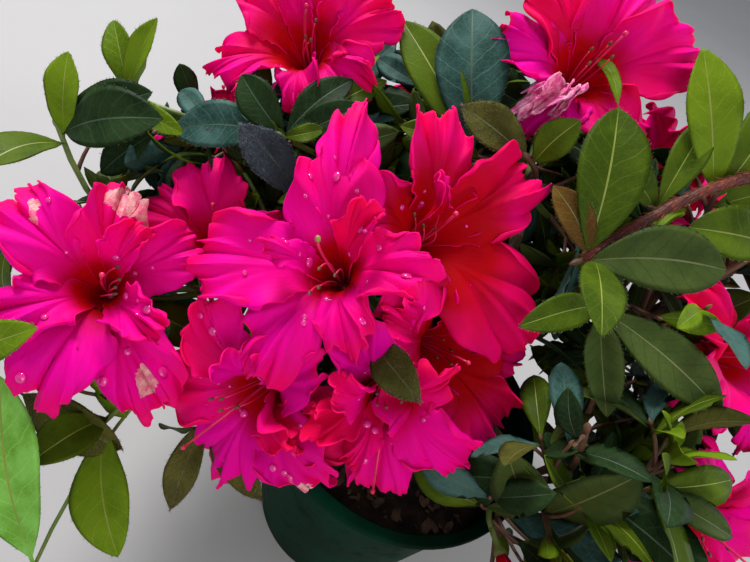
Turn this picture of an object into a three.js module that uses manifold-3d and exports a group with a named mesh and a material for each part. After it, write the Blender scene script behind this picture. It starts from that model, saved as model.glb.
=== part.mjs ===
// An azalea shrub in full bloom, in its round nursery pot.
// Millimetres, +Z up. The origin is the centre of the pot's flat underside, and -Y is the shrub's front.
import * as THREE from "three";
import { mergeVertices } from "three/addons/utils/BufferGeometryUtils.js";
import Module from "manifold-3d";

const wasm = await Module();
wasm.setup();
const { Manifold } = wasm;

// Driving dimensions
const CLEAR = 0.3; // gap left between pieces that touch
const SHORTEST_EDGE = 0.01;
const SEED = 41;

const POT_HEIGHT = 125;
const POT_RIM_RADIUS = 70;
const POT_FOOT_RADIUS = 52;
const POT_WALL = 2.2;
const POT_FLOOR = 3;
const COLLAR_DROP = 22; // the wider band under the rim
const COLLAR_STEP = 1.6;
const RIM_LIP = 3;
const RIM_DROP = 5;
const ROUND_STEPS = 32;
const DRAIN_HOLES = 6;
const DRAIN_RADIUS = 4.5;
const DRAIN_RING_RADIUS = 38;
const SOIL_LEVEL = 108;
const SOIL_FLAT_RADIUS = 14; // level patch that the trunk stands on
const SOIL_HEAP = 1.5; // how far the potting mix rises half-way out
const SOIL_EDGE_DROP = 2; // how far its edge lies below its middle

const TRUNK_ROUTE = [[2, 4, 0], [5, 9, 26], [9, 24, 60], [12, 36, 92]]; // heights above the potting mix
const TRUNK_RADII = [9, 6.4, 5.4, 4.2, 3.2];
const TRUNK_SIDES = 10;
const TRUNK_PLACES = 40; // along it, at which boughs may leave it
const BOUGH_SIDES = 7;
const BOUGH_STEPS = 5;
const BOUGH_RADII = [3.2, 2];

const STEM_LENGTH = 5; // from which a mass's twigs branch
const STEM_RADII = [2, 2.2];
const TWIG_SIDES = 3;
const TWIG_STEPS = 3;
const TWIG_RADII = [1.7, 1.1];
const SIDE_TWIG_SHARE = 0.8; // of a main twig's radii
const LEAF_LENGTH = 50;
const LEAF_LENGTHS = [0.72, 1.14]; // the shortest and the longest, as shares
const LEAF_WIDTH = 22;
const LEAF_WIDEST = 0.52; // share of its length where a leaf is widest
const LEAF_ARCH = 0.07; // how far its middle rises, as a share of its length
const LEAF_CUP = 0.08; // how far its edges rise above that, as a share of its width
const LEAF_THICKNESS = 1.1;
const LEAF_ROOT = 0.6; // how far past a twig's axis a leaf's foot is sunk
const LEAF_SAG = 0.12;
const LEAVES_PER_WHORL = 7;
const LEAF_FACE_BY_EYE = new THREE.Vector3(-0.1, -0.7, 0.7); // the way the leaves placed by eye face
const WHORL_SPREAD = [49, 75]; // degrees between a whorl's leaves and its twig
const WHORL_STEP = 2.2; // along the twig from one leaf to the next
const WHORL_BACK = 1; // from a leafy shoot's tip to its last leaf
const BLOOM_WHORL_BACK = 8; // from a bloom's foot to the last leaf below it
const BLOOM_STALK_BEND = 24; // length over which a twig turns the way its bloom faces
const SPRING_COST = 0.4; // the more it is, the nearer to the stem that twigs branch
const SHOOT_SPACING = 24;
const SHOOT_TRIES = 120;
const SHOOT_STRAY = 1.6; // how widely a mass's leafy shoots fan out
const SHOOT_REACH = [0.55, 0.93]; // where they end, as shares of the crown's reach
const BLOOM_DEPTH = 38; // from the foot of the flower stalk to the throat
const LOBES = 5;
const LOBE_EDGE = [0.8, 0.96, 1, 0.95]; // shares of the bloom's half span, from one notch to the next
const LOBE_MIDDLE = [0.5, 0.6, 0.64, 0.6];
const LOBE_WAVE = [-4, 2.5, -2.5, 1.5];
const EDGE_RING = 3; // the ring at the lobes' edge, which joins a petal's lower sheet to its upper one
const LOBE_RISE = 6;
const THROAT_RADIUS = 6.5;
const THROAT_AT = 0.8; // share of the bloom's depth
const STALK_RADIUS = 1.2;
const PETAL_THICKNESS = 1.1;

// The crown's dome, and the gap at the front where the pot's rim shows through it
const CROWN_CENTRE = [-8, 18, 150];
const CROWN_REACH = [158, 138, 138];
const CROWN_FLOOR = 112;
const CROWN_EDGE = 1.14; // share of the dome's reach that leaf tips keep within
const FRONT_GAP = { low: [-75, -140, 100], high: [60, -58, 236] };
const HUB_SHARE = 0.45; // a leaf stays this share of its distance from its own hub away from every other hub
const OPEN_TO_VIEW = { near: 2, far: 50, share: 0.36 }; // the space in front of a bloom, round its axis

// Each mass of foliage: where its bough leaves the trunk (height above the soil), the bend and the end of the
// bough, the direction its leafy shoots fan out in, and how many of those it carries
const MASSES = {
  front: { from: 26, bend: [-8, 14, 134], hub: [-32, 6, 140], fan: [-0.3, -0.3, 0.2], shoots: 3 },
  left: { from: 26, bend: [-40, 12, 138], hub: [-88, 2, 148], fan: [-1, -0.25, 0.3], shoots: 5 },
  back_left: { from: 52, bend: [-30, 48, 170], hub: [-72, 62, 186], fan: [-0.8, 0.5, 0.5], shoots: 10 },
  crest: { from: 84, bend: [8, 44, 212], hub: [2, 52, 226], fan: [0.1, 0.3, 1], shoots: 9 },
  right: { from: 58, bend: [42, 34, 178], hub: [74, 40, 194], fan: [0.9, 0.1, 0.6], shoots: 6 },
  right_front: { from: 30, bend: [30, 2, 140], hub: [56, -22, 144], fan: [0.9, -0.6, 0.1], shoots: 10 },
  back_right: { from: 44, bend: [44, 60, 160], hub: [78, 84, 172], fan: [0.7, 0.7, 0.4], shoots: 10 },
  back: { from: 38, bend: [0, 60, 150], hub: [-8, 88, 158], fan: [-0.1, 1, 0.35], shoots: 12 },
};

// Each bloom: the centre of its throat, the way it faces (turn round +Z from +X, lift above level), its spin
// about that line and its span across the lobes
const BLOOMS = [
  { mass: "front", at: [-57, -34, 216], turn: -112, lift: 52, spin: 8, span: 92 },
  { mass: "front", at: [-29, 3, 219], turn: -66, lift: 54, spin: 30, span: 92 },
  { mass: "front", at: [-18, -48, 180], turn: -82, lift: 26, spin: 12, span: 84 },
  { mass: "front", at: [-64, -58, 161], turn: -104, lift: 20, spin: 46, span: 86 },
  { mass: "front", at: [-4, -14, 183], turn: -48, lift: 42, spin: 0, span: 78 },
  { mass: "left", at: [-129, -57, 180], turn: -70, lift: 58, spin: 20, span: 86 },
  { mass: "left", at: [-110, -9, 176], turn: -110, lift: 62, spin: 50, span: 68 },
  { mass: "back_left", at: [-116, 62, 237], turn: -108, lift: 50, spin: 10, span: 84 },
  { mass: "crest", at: [0, 84, 272], turn: -88, lift: 46, spin: 0, span: 88 },
  { mass: "right", at: [112, 26, 216], turn: -55, lift: 50, spin: 25, span: 84 },
  { mass: "right_front", at: [126, -24, 168], turn: -50, lift: 40, spin: 5, span: 84 },
  { mass: "right_front", at: [66, -84, 142], turn: -62, lift: 8, spin: 15, span: 80 },
  { mass: "back_right", at: [74, 122, 214], turn: 62, lift: 46, spin: 30, span: 86 },
  { mass: "back_right", at: [132, 78, 178], turn: 28, lift: 32, spin: 0, span: 84 },
  { mass: "back", at: [-36, 140, 206], turn: 100, lift: 42, spin: 20, span: 86 },
  { mass: "back", at: [20, 146, 152], turn: 81, lift: 16, spin: 45, span: 80 },
  { mass: "back_left", at: [-146, 68, 178], turn: 150, lift: 30, spin: 0, span: 84 },
  { mass: "back_left", at: [-92, 122, 182], turn: 122, lift: 26, spin: 35, span: 84 },
  { mass: "crest", at: [58, 104, 246], turn: 44, lift: 58, spin: 12, span: 82 },
];

// Leafy shoots placed by eye: the shoot's tip, a point that steers it, and where each leaf's tip stands, with
// the leaf's width
const PLACED_SHOOTS = [
  {
    mass: "left", tip: [-84, 12, 200], via: [-84, 12, 176],
    leaves: [[-116, 12, 220, 18], [-68, 32, 226, 14]],
  },
  {
    mass: "left", tip: [-190, 0, 187], via: [-152, -22, 138],
    leaves: [[-160, 11, 211, 20], [-152, -6, 208, 20], [-193, 10, 216, 16], [-190, -38, 190, 18]],
  },
  {
    mass: "back_left", tip: [-178, 22, 200], via: [-134, 22, 206],
    leaves: [[-138, 10, 205, 11], [-168, 34, 234, 11], [-192, 38, 222, 13], [-186, 52, 200, 14]],
  },
  {
    mass: "left", tip: [-176, -58, 139], via: [-138, -24, 138],
    leaves: [[-148, -72, 152, 18], [-183, -35, 171, 15], [-170, -56, 168, 13], [-184, -90, 128, 18]],
  },
  {
    mass: "left", tip: [-153, -78, 116], via: [-122, -36, 130],
    leaves: [[-102, -82, 122, 20], [-150, -120, 122, 22]],
  },
  {
    mass: "left", tip: [-115, -75, 120], via: [-104, -36, 134],
    leaves: [[-84, -109, 104, 24], [-122, -104, 134, 18]],
  },
  {
    mass: "left", tip: [-80, -58, 126], via: [-92, -28, 134],
    leaves: [[-74, -92, 116, 14], [-44, -78, 126, 14]],
  },
  { mass: "left", tip: [-106, -126, 104], via: [-116, -74, 128], leaves: [[-146, -88, 148, 30]] },
  {
    mass: "back_left", tip: [-102, 22, 217], via: [-86, 44, 202],
    leaves: [[-144, 9, 206, 20], [-127, 30, 230, 16], [-78, 36, 238, 16]],
  },
  {
    mass: "crest", tip: [-28, 50, 232], via: [-14, 54, 234],
    leaves: [[-55, 84, 272, 24], [-80, 76, 262, 17], [-58, 34, 240, 15]],
  },
  {
    mass: "crest", tip: [-6, 48, 243], via: [4, 50, 238],
    leaves: [[-40, 48, 252, 18], [-26, 48, 262, 13]],
  },
  {
    mass: "right", tip: [28, 19, 228], via: [66, 56, 246],
    leaves: [[78, 26, 250, 27], [15, 60, 273, 28], [6, 32, 246, 14], [34, -24, 236, 17]],
  },
  {
    mass: "right", tip: [42, 12, 217], via: [70, 28, 222],
    leaves: [[92, -14, 218, 26], [58, -26, 202, 20], [16, -14, 214, 14]],
  },
  {
    mass: "right", tip: [49, 48, 247], via: [70, 60, 242],
    leaves: [[54, 80, 278, 15], [20, 48, 258, 14]],
  },
  {
    mass: "right", tip: [72, 66, 256], via: [78, 58, 236],
    leaves: [[36, 84, 300, 22], [76, 96, 298, 20], [104, 78, 270, 18]],
  },
  {
    mass: "right", tip: [101, 57, 253], via: [92, 52, 228],
    leaves: [[62, 41, 251, 22], [120, 84, 274, 18], [132, 44, 262, 18]],
  },
];

const BARK = new THREE.MeshStandardMaterial({ color: 0x6b4a35, roughness: 0.85, metalness: 0 });
const LEAF_GREEN = new THREE.MeshStandardMaterial({ color: 0x35552c, roughness: 0.6, metalness: 0 });
const PETAL_PINK = new THREE.MeshStandardMaterial({ color: 0xd8004e, roughness: 0.5, metalness: 0 });
const POT_GREEN = new THREE.MeshStandardMaterial({ color: 0x123a26, roughness: 0.4, metalness: 0 });
const POTTING_MIX = new THREE.MeshStandardMaterial({ color: 0x2a1d14, roughness: 0.95, metalness: 0 });

const shrub = new THREE.Group();
const placed = []; // every limb, bloom and part of the pot, with its box
const grown = []; // every twig and leaf so far, with its box and its mass

const vec = (x, y, z) => new THREE.Vector3(x, y, z);
const point = (p) => vec(...p);
const radians = THREE.MathUtils.degToRad;

// A seeded run of numbers from 0 to 1
function dice(seed) {
  let state = seed >>> 0;
  return () => {
    state = (state + 0x6d2b79f5) >>> 0;
    let t = state;
    t = Math.imul(t ^ (t >>> 15), t | 1);
    t ^= t + Math.imul(t ^ (t >>> 7), t | 61);
    return ((t ^ (t >>> 14)) >>> 0) / 4294967296;
  };
}

// A closed geometry as a solid
function solidOf(geometry) {
  const bare = geometry.clone();
  bare.deleteAttribute("normal");
  bare.deleteAttribute("uv");
  const merged = mergeVertices(bare, 1e-3);
  return new Manifold(new wasm.Mesh({
    numProp: 3,
    vertProperties: new Float32Array(merged.attributes.position.array),
    triVerts: new Uint32Array(merged.index.array),
  }));
}

// A solid from its corners and its triangles
function solidFrom(corners, triangles) {
  return new Manifold(new wasm.Mesh({
    numProp: 3,
    vertProperties: new Float32Array(corners.flatMap((c) => [c.x, c.y, c.z])),
    triVerts: new Uint32Array(triangles.flat()),
  }));
}

// The largest of a solid's separate pieces, once its shortest edges are taken out
function largestPiece(solid) {
  const rounded = solidOf(geometryOf(solid.simplify(SHORTEST_EDGE)));
  return rounded.decompose().reduce((a, b) => (a.volume() > b.volume() ? a : b));
}

const boxed = (solid) => ({ solid, box: solid.boundingBox() });

function stand(solid) {
  placed.push(boxed(solid));
}

function geometryOf(solid) {
  const { numProp, vertProperties, triVerts } = solid.getMesh();
  const positions = new Float32Array((vertProperties.length / numProp) * 3);
  for (let i = 0; i < positions.length / 3; i++)
    for (let k = 0; k < 3; k++) positions[i * 3 + k] = vertProperties[i * numProp + k];
  const geometry = new THREE.BufferGeometry();
  geometry.setAttribute("position", new THREE.BufferAttribute(positions, 3));
  geometry.setIndex(new THREE.BufferAttribute(new Uint32Array(triVerts), 1));
  return geometry;
}

function addNode(name, solid, material) {
  const geometry = geometryOf(solid);
  geometry.computeVertexNormals();
  const mesh = new THREE.Mesh(geometry, material);
  mesh.name = name;
  shrub.add(mesh);
}

// Whether a solid reaches into any that stand already
function touches({ solid, box: { min, max } }, others) {
  return others.some(({ solid: other, box }) =>
    [0, 1, 2].every((k) => min[k] <= box.max[k] && max[k] >= box.min[k])
    && !solid.intersect(other).isEmpty());
}

// A place on the smooth curve that its route's points steer: 0 is its start and 1 its end
function onCurve(route, share) {
  let row = route;
  while (row.length > 1) row = row.slice(1).map((p, i) => row[i].clone().lerp(p, share));
  return row[0].clone();
}

// The centres of a limb's rings
function axisOf(route, steps) {
  return Array.from({ length: steps + 1 }, (_, i) => onCurve(route, i / steps));
}

// A tapering limb of any number of sides along its curve
function limb(route, radii, sides, steps) {
  const centres = axisOf(route, steps);
  const corners = [];
  let normal = vec(1, 3, 1).normalize();
  centres.forEach((centre, i) => {
    const ahead = i < steps ? centres[i + 1] : route[route.length - 1];
    const behind = i === 0 ? centre : i < steps ? centres[i - 1] : route[route.length - 2];
    const tangent = ahead.clone().sub(behind).normalize();
    normal = normal.clone().addScaledVector(tangent, -normal.dot(tangent)).normalize();
    const side = tangent.clone().cross(normal);
    const place = ((radii.length - 1) * i) / steps;
    const low = Math.min(Math.floor(place), radii.length - 2);
    const radius = THREE.MathUtils.lerp(radii[low], radii[low + 1], place - low);
    for (let k = 0; k < sides; k++) {
      const a = (2 * Math.PI * k) / sides;
      corners.push(centre.clone()
        .addScaledVector(normal, radius * Math.cos(a))
        .addScaledVector(side, radius * Math.sin(a)));
    }
  });
  const faces = [];
  for (let k = 1; k < sides - 1; k++) faces.push([0, k + 1, k]);
  for (let i = 0; i < steps; i++)
    for (let k = 0; k < sides; k++) {
      const a = i * sides + k;
      const b = i * sides + ((k + 1) % sides);
      faces.push([a, b, b + sides], [a, b + sides, a + sides]);
    }
  const top = steps * sides;
  for (let k = 1; k < sides - 1; k++) faces.push([top, top + k, top + k + 1]);
  return solidFrom(corners, faces);
}

// A round body turned from its profile of [radius, height] pairs
function turned(profile) {
  const geometry = new THREE.LatheGeometry(profile.map(([r, z]) => new THREE.Vector2(r, z)), ROUND_STEPS);
  geometry.rotateX(Math.PI / 2);
  const solid = solidOf(geometry);
  return solid.volume() > 0 ? solid : solidOf(geometry.scale(1, -1, 1));
}

function potRadius(height) {
  return THREE.MathUtils.lerp(POT_FOOT_RADIUS, POT_RIM_RADIUS - RIM_LIP - COLLAR_STEP, height / POT_HEIGHT);
}

function buildPot() {
  const collar = POT_HEIGHT - COLLAR_DROP;
  let pot = turned([
    [0, 0],
    [POT_FOOT_RADIUS, 0],
    [potRadius(collar), collar - COLLAR_STEP],
    [potRadius(collar) + COLLAR_STEP, collar],
    [potRadius(POT_HEIGHT) + COLLAR_STEP, POT_HEIGHT - RIM_DROP],
    [POT_RIM_RADIUS, POT_HEIGHT - RIM_DROP + 1],
    [POT_RIM_RADIUS, POT_HEIGHT - 1],
    [POT_RIM_RADIUS - 1, POT_HEIGHT],
    [potRadius(POT_HEIGHT) + COLLAR_STEP - POT_WALL, POT_HEIGHT],
    [potRadius(collar) + COLLAR_STEP - POT_WALL, collar + COLLAR_STEP],
    [potRadius(collar) - POT_WALL, collar],
    [potRadius(POT_FLOOR) - POT_WALL, POT_FLOOR],
    [0, POT_FLOOR],
  ]);
  for (let k = 0; k < DRAIN_HOLES; k++) {
    const a = (2 * Math.PI * k) / DRAIN_HOLES;
    const plug = new THREE.CylinderGeometry(DRAIN_RADIUS, DRAIN_RADIUS, 4 * POT_FLOOR, 8);
    plug.rotateX(Math.PI / 2);
    plug.translate(DRAIN_RING_RADIUS * Math.cos(a), DRAIN_RING_RADIUS * Math.sin(a), 0);
    pot = pot.subtract(solidOf(plug));
  }
  stand(pot);
  addNode("pot", pot, POT_GREEN);
}

function buildPottingMix() {
  const collar = POT_HEIGHT - COLLAR_DROP;
  const inside = (z, step) => potRadius(z) + step - POT_WALL - CLEAR;
  const soil = turned([
    [0, POT_FLOOR + CLEAR],
    [inside(POT_FLOOR, 0), POT_FLOOR + CLEAR],
    [inside(collar - CLEAR, 0), collar - CLEAR],
    [inside(collar + COLLAR_STEP, COLLAR_STEP) - CLEAR, collar + COLLAR_STEP + CLEAR],
    [inside(SOIL_LEVEL - SOIL_EDGE_DROP, COLLAR_STEP) - CLEAR, SOIL_LEVEL - SOIL_EDGE_DROP],
    [(POT_RIM_RADIUS + SOIL_FLAT_RADIUS) / 2, SOIL_LEVEL + SOIL_HEAP],
    [SOIL_FLAT_RADIUS, SOIL_LEVEL],
    [0, SOIL_LEVEL],
  ]);
  stand(soil);
  addNode("potting_mix", soil, POTTING_MIX);
}

// The trunk stands on a flat cut, CLEAR above the potting mix
function trunkRoute() {
  return TRUNK_ROUTE.map(([x, y, z]) => vec(x, y, SOIL_LEVEL + CLEAR + z));
}

function trunkSolid(grow) {
  const trunk = limb(trunkRoute(), TRUNK_RADII.map((r) => r + grow), TRUNK_SIDES, TRUNK_SIDES);
  return trunk.trimByPlane([0, 0, 1], SOIL_LEVEL + CLEAR - grow);
}

// The place on the trunk's axis at a height above the potting mix
function trunkAt(height) {
  const gap = (p) => Math.abs(p.z - SOIL_LEVEL - height);
  return axisOf(trunkRoute(), TRUNK_PLACES).reduce((best, p) => (gap(p) < gap(best) ? p : best));
}

function buildTrunk() {
  const trunk = trunkSolid(0);
  stand(trunk);
  addNode("trunk", trunk, BARK);
}

// One tapering bough from the trunk's side to the hub of its mass
function buildBoughs() {
  const before = [trunkSolid(CLEAR)];
  for (const [name, { from, bend, hub }] of Object.entries(MASSES)) {
    const route = [trunkAt(from), point(bend), point(hub)];
    let bough = limb(route, BOUGH_RADII, BOUGH_SIDES, BOUGH_STEPS);
    for (const other of before) bough = bough.subtract(other);
    bough = largestPiece(bough);
    before.push(limb(route, BOUGH_RADII.map((r) => r + CLEAR), BOUGH_SIDES, BOUGH_STEPS));
    stand(bough);
    addNode("bough_" + name, bough, BARK);
  }
}

function facing({ turn, lift }) {
  const t = radians(turn);
  const l = radians(lift);
  return new THREE.Vector3(Math.cos(t) * Math.cos(l), Math.sin(t) * Math.cos(l), Math.sin(l));
}

// The foot of a bloom's stalk
function bloomFoot(bloom) {
  return point(bloom.at).addScaledVector(facing(bloom), -BLOOM_DEPTH);
}

// One open bloom: stalk, funnel and five wavy lobes, as one thin shell
function bloomSolid(bloom, grow) {
  const reach = bloom.span / 2 + grow;
  const perLobe = LOBE_EDGE.length;
  const around = LOBES * perLobe;
  const open = BLOOM_DEPTH + LOBE_RISE - grow;
  const thick = PETAL_THICKNESS + 2 * grow;
  const same = (radius, height) => LOBE_EDGE.map(() => [radius, height]);
  const rings = [
    same(STALK_RADIUS + grow, -grow),
    same(THROAT_RADIUS + grow, THROAT_AT * BLOOM_DEPTH - grow),
    LOBE_MIDDLE.map((share) => [share * reach, open]),
    LOBE_EDGE.map((share, k) => [share * reach, open + LOBE_WAVE[k]]),
    LOBE_MIDDLE.map((share) => [share * reach, open + thick]),
    same(THROAT_RADIUS - PETAL_THICKNESS, THROAT_AT * BLOOM_DEPTH + 1 + grow),
  ];
  const raised = LOBE_EDGE.map((share, k) => [share * reach, open + LOBE_WAVE[k] + 2 * grow]);
  if (grow) rings.splice(EDGE_RING + 1, 0, raised);
  const corners = [vec(0, 0, -grow)];
  for (const ring of rings)
    for (let k = 0; k < around; k++) {
      const a = (2 * Math.PI * k) / around;
      const [r, z] = ring[k % perLobe];
      corners.push(vec(r * Math.cos(a), r * Math.sin(a), z));
    }
  corners.push(vec(0, 0, BLOOM_DEPTH / 2));
  const faces = [];
  const at = (ring, k) => 1 + ring * around + (k % around);
  const last = corners.length - 1;
  for (let k = 0; k < around; k++) {
    faces.push([0, at(0, k + 1), at(0, k)]);
    for (let ring = 0; ring < rings.length - 1; ring++) {
      // Both sheets of a petal are split along the same diagonals, so that they never cross
      const [near, nearNext] = [at(ring, k), at(ring, k + 1)];
      const [far, farNext] = [at(ring + 1, k), at(ring + 1, k + 1)];
      if (ring < EDGE_RING) faces.push([near, nearNext, farNext], [near, farNext, far]);
      else faces.push([near, nearNext, far], [nearNext, farNext, far]);
    }
    faces.push([at(rings.length - 1, k), at(rings.length - 1, k + 1), last]);
  }
  const turn = new THREE.Quaternion().setFromUnitVectors(vec(0, 0, 1), facing(bloom));
  const spin = new THREE.Quaternion().setFromAxisAngle(vec(0, 0, 1), radians(bloom.spin));
  const foot = bloomFoot(bloom);
  return solidFrom(corners.map((c) => c.applyQuaternion(spin).applyQuaternion(turn).add(foot)), faces);
}

// Each bloom keeps clear of those before it: where petals would cross, the later one is cut back
function buildBlooms() {
  const before = [];
  BLOOMS.forEach((bloom, i) => {
    let solid = bloomSolid(bloom, 0);
    for (const other of before) solid = solid.subtract(other);
    solid = largestPiece(solid);
    before.push(bloomSolid(bloom, CLEAR));
    stand(solid);
    addNode("bloom_" + String(i + 1).padStart(2, "0"), solid, PETAL_PINK);
  });
}

// A leaf of eight faces from a twig's axis to its tip, its upper face turned to a direction
function leafSolid({ foot: root, tip, width, face }, grow) {
  const along = tip.clone().sub(root).normalize();
  const foot = root.clone().addScaledVector(along, -LEAF_ROOT);
  const length = foot.distanceTo(tip);
  const across = along.clone().cross(face).normalize();
  const up = across.clone().cross(along).normalize();
  const middle = foot.clone().lerp(tip, LEAF_WIDEST).addScaledVector(up, LEAF_ARCH * length);
  const edge = middle.clone().addScaledVector(up, LEAF_CUP * width);
  const half = width / 2 + grow;
  const corners = [
    foot.clone().addScaledVector(along, -grow),
    edge.clone().addScaledVector(across, half),
    tip.clone().addScaledVector(along, grow),
    edge.clone().addScaledVector(across, -half),
    middle.clone().addScaledVector(up, LEAF_THICKNESS / 2 + grow),
    middle.clone().addScaledVector(up, -LEAF_THICKNESS / 2 - grow),
  ];
  const faces = [[0, 1, 4], [1, 2, 4], [2, 3, 4], [3, 0, 4], [0, 5, 1], [1, 5, 2], [2, 5, 3], [3, 5, 0]];
  return solidFrom(corners, faces);
}

const within = (p, { low, high }) => [p.x, p.y, p.z].every((v, k) => v > low[k] && v < high[k]);

// Whether a place lies in front of an open bloom, where nothing grows
function coversBloom(p) {
  const { near, far, share } = OPEN_TO_VIEW;
  return BLOOMS.some((bloom) => {
    const away = p.clone().sub(point(bloom.at));
    const out = away.dot(facing(bloom));
    return out > near && out < far && Math.sqrt(away.lengthSq() - out * out) < share * bloom.span;
  });
}

// How far out a place lies in the crown's dome: 1 is its surface
function crownShare(p) {
  return Math.hypot(...p.toArray().map((v, k) => (v - CROWN_CENTRE[k]) / CROWN_REACH[k]));
}

// Whether a leaf or shoot keeps to the crown and to its own mass
function keepsToSpace(p, name) {
  if (p.z < CROWN_FLOOR || crownShare(p) > CROWN_EDGE || within(p, FRONT_GAP) || coversBloom(p)) return false;
  const own = point(MASSES[name].hub).distanceTo(p);
  const others = Object.entries(MASSES).filter(([other]) => other !== name);
  return others.every(([, { hub }]) => point(hub).distanceTo(p) > HUB_SHARE * own);
}

// The place on a twig's axis at a distance back from its tip
function backFromTip(axis, distance) {
  let left = distance;
  for (let i = axis.length - 1; i > 0; i--) {
    const step = axis[i].distanceTo(axis[i - 1]);
    if (left <= step) return axis[i].clone().lerp(axis[i - 1], left / step);
    left -= step;
  }
  return axis[0].clone();
}

const between = ([low, high], share) => THREE.MathUtils.lerp(low, high, share);

// The leaves round a twig's end, the last of them a distance back from its tip
function whorl(route, back, seed) {
  const roll = dice(seed);
  const axis = axisOf(route, TWIG_STEPS);
  const heading = route[route.length - 1].clone().sub(route[route.length - 2]).normalize();
  const side = heading.clone().cross(Math.abs(heading.z) > 0.9 ? vec(1, 0, 0) : vec(0, 0, 1)).normalize();
  return Array.from({ length: LEAVES_PER_WHORL }, (_, k) => {
    const length = LEAF_LENGTH * between(LEAF_LENGTHS, roll());
    const spread = radians(between(WHORL_SPREAD, ((k % 2) + roll()) / 2));
    const turn = (2 * Math.PI * (k + 0.3 * roll())) / LEAVES_PER_WHORL;
    const outward = side.clone().applyAxisAngle(heading, turn);
    const along = heading.clone().multiplyScalar(Math.cos(spread)).addScaledVector(outward, Math.sin(spread));
    along.add(vec(0, 0, -LEAF_SAG)).normalize();
    const foot = backFromTip(axis, back + WHORL_STEP * k);
    const tip = foot.clone().addScaledVector(along, length);
    return { foot, tip, width: (LEAF_WIDTH * length) / LEAF_LENGTH, face: heading };
  });
}

// Lets a twig or leaf stand in its mass, unless it comes within CLEAR of another piece. A leaf that names its
// own twig may not cross the rest of its mass either.
function settle(name, shape, twig) {
  const wide = boxed(shape(CLEAR));
  if (touches(wide, placed) || touches(wide, grown.filter((other) => other.name !== name))) return null;
  const piece = { name, ...boxed(shape(0)) };
  if (twig && touches(piece, grown.filter((other) => other.name === name && other !== twig))) return null;
  grown.push(piece);
  return piece;
}

// Where a shoot springs from: the mass's stem, or a twig that passes nearer to the shoot's tip
function springOf(tip, { start, stem, shoots }) {
  let best = { from: start, heading: stem, cost: start.distanceTo(tip) };
  for (const { axis } of shoots)
    for (let i = 1; i < axis.length - 1; i++) {
      const heading = axis[i + 1].clone().sub(axis[i - 1]).normalize();
      const cost = axis[i].distanceTo(tip) + axis[i].distanceTo(start) * SPRING_COST;
      const ahead = heading.dot(tip.clone().sub(axis[i]).normalize()) > 0.1;
      if (ahead && cost < best.cost) best = { from: axis[i], heading, cost };
    }
  return best;
}

// Grows one shoot of a mass: its twig, with its leaves to come. Says whether there was room for it.
function growShoot(growth, route, leaves) {
  const share = route[0] === growth.start ? 1 : SIDE_TWIG_SHARE;
  const shape = (grow) => limb(route, TWIG_RADII.map((r) => r * share + grow), TWIG_SIDES, TWIG_STEPS);
  const twig = settle(growth.name, shape, null);
  if (twig) growth.shoots.push({ twig, leaves, axis: axisOf(route, TWIG_STEPS) });
  return twig !== null;
}

// A mass's stem, before any of its shoots
function startGrowth(name, index) {
  const hub = point(MASSES[name].hub);
  const stem = hub.clone().sub(point(MASSES[name].bend)).normalize();
  const start = hub.clone().addScaledVector(stem, CLEAR + STEM_LENGTH / 2);
  return { name, seed: SEED + 1000 * index, hub, stem, start, shoots: [] };
}

function growBloomShoots(growth) {
  for (const bloom of BLOOMS.filter((b) => b.mass === growth.name)) {
    const tip = bloomFoot(bloom).addScaledVector(facing(bloom), -CLEAR);
    const { from } = springOf(tip, growth);
    const bend = Math.min(BLOOM_STALK_BEND, tip.distanceTo(from) / 2);
    const route = [from, tip.clone().addScaledVector(facing(bloom), -bend), tip];
    growShoot(growth, route, whorl(route, BLOOM_WHORL_BACK, growth.seed + BLOOMS.indexOf(bloom)));
  }
}

function growPlacedShoots(growth) {
  for (const { tip, via, leaves } of PLACED_SHOOTS.filter((shoot) => shoot.mass === growth.name)) {
    const route = [growth.start, point(via), point(tip)];
    const axis = axisOf(route, TWIG_STEPS);
    growShoot(growth, route, leaves.map(([x, y, z, width], k) => {
      const foot = backFromTip(axis, WHORL_BACK + WHORL_STEP * k);
      return { foot, tip: vec(x, y, z), width, face: LEAF_FACE_BY_EYE, byEye: true };
    }));
  }
}

// The leafy shoots of a mass fan out by a seeded rule
function growSeededShoots(growth) {
  const { fan: towards, shoots: wanted } = MASSES[growth.name];
  const fan = point(towards).normalize();
  const tips = [];
  for (let k = 0; tips.length < wanted && k < SHOOT_TRIES; k++) {
    const seed = growth.seed + 100 + k;
    const roll = dice(seed);
    const stray = vec(roll() - 0.5, roll() - 0.5, roll() - 0.5).multiplyScalar(SHOOT_STRAY);
    const outward = fan.clone().add(stray).normalize().multiply(point(CROWN_REACH));
    const tip = point(CROWN_CENTRE).addScaledVector(outward, between(SHOOT_REACH, roll()));
    if (!keepsToSpace(tip, growth.name)) continue;
    if (tips.some((other) => other.distanceTo(tip) < SHOOT_SPACING)) continue;
    const { from, heading } = springOf(tip, growth);
    const bend = from.clone().lerp(tip, 1 / 3).addScaledVector(heading, from.distanceTo(tip) / 4);
    const route = [from, bend, tip];
    if (growShoot(growth, route, whorl(route, WHORL_BACK, seed + 500))) tips.push(tip);
  }
}

// A leaf that leaves its mass's space, touches a neighbour or crosses what has grown already is left off
function growLeaves({ name, shoots }, byEye) {
  for (const { twig, leaves } of shoots)
    for (const leaf of leaves.filter((one) => Boolean(one.byEye) === byEye)) {
      const body = leaf.foot.clone().lerp(leaf.tip, LEAF_WIDEST);
      if (!byEye && !(keepsToSpace(leaf.tip, name) && keepsToSpace(body, name))) continue;
      settle(name, (grow) => leafSolid(leaf, grow), byEye ? null : twig);
    }
}

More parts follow.
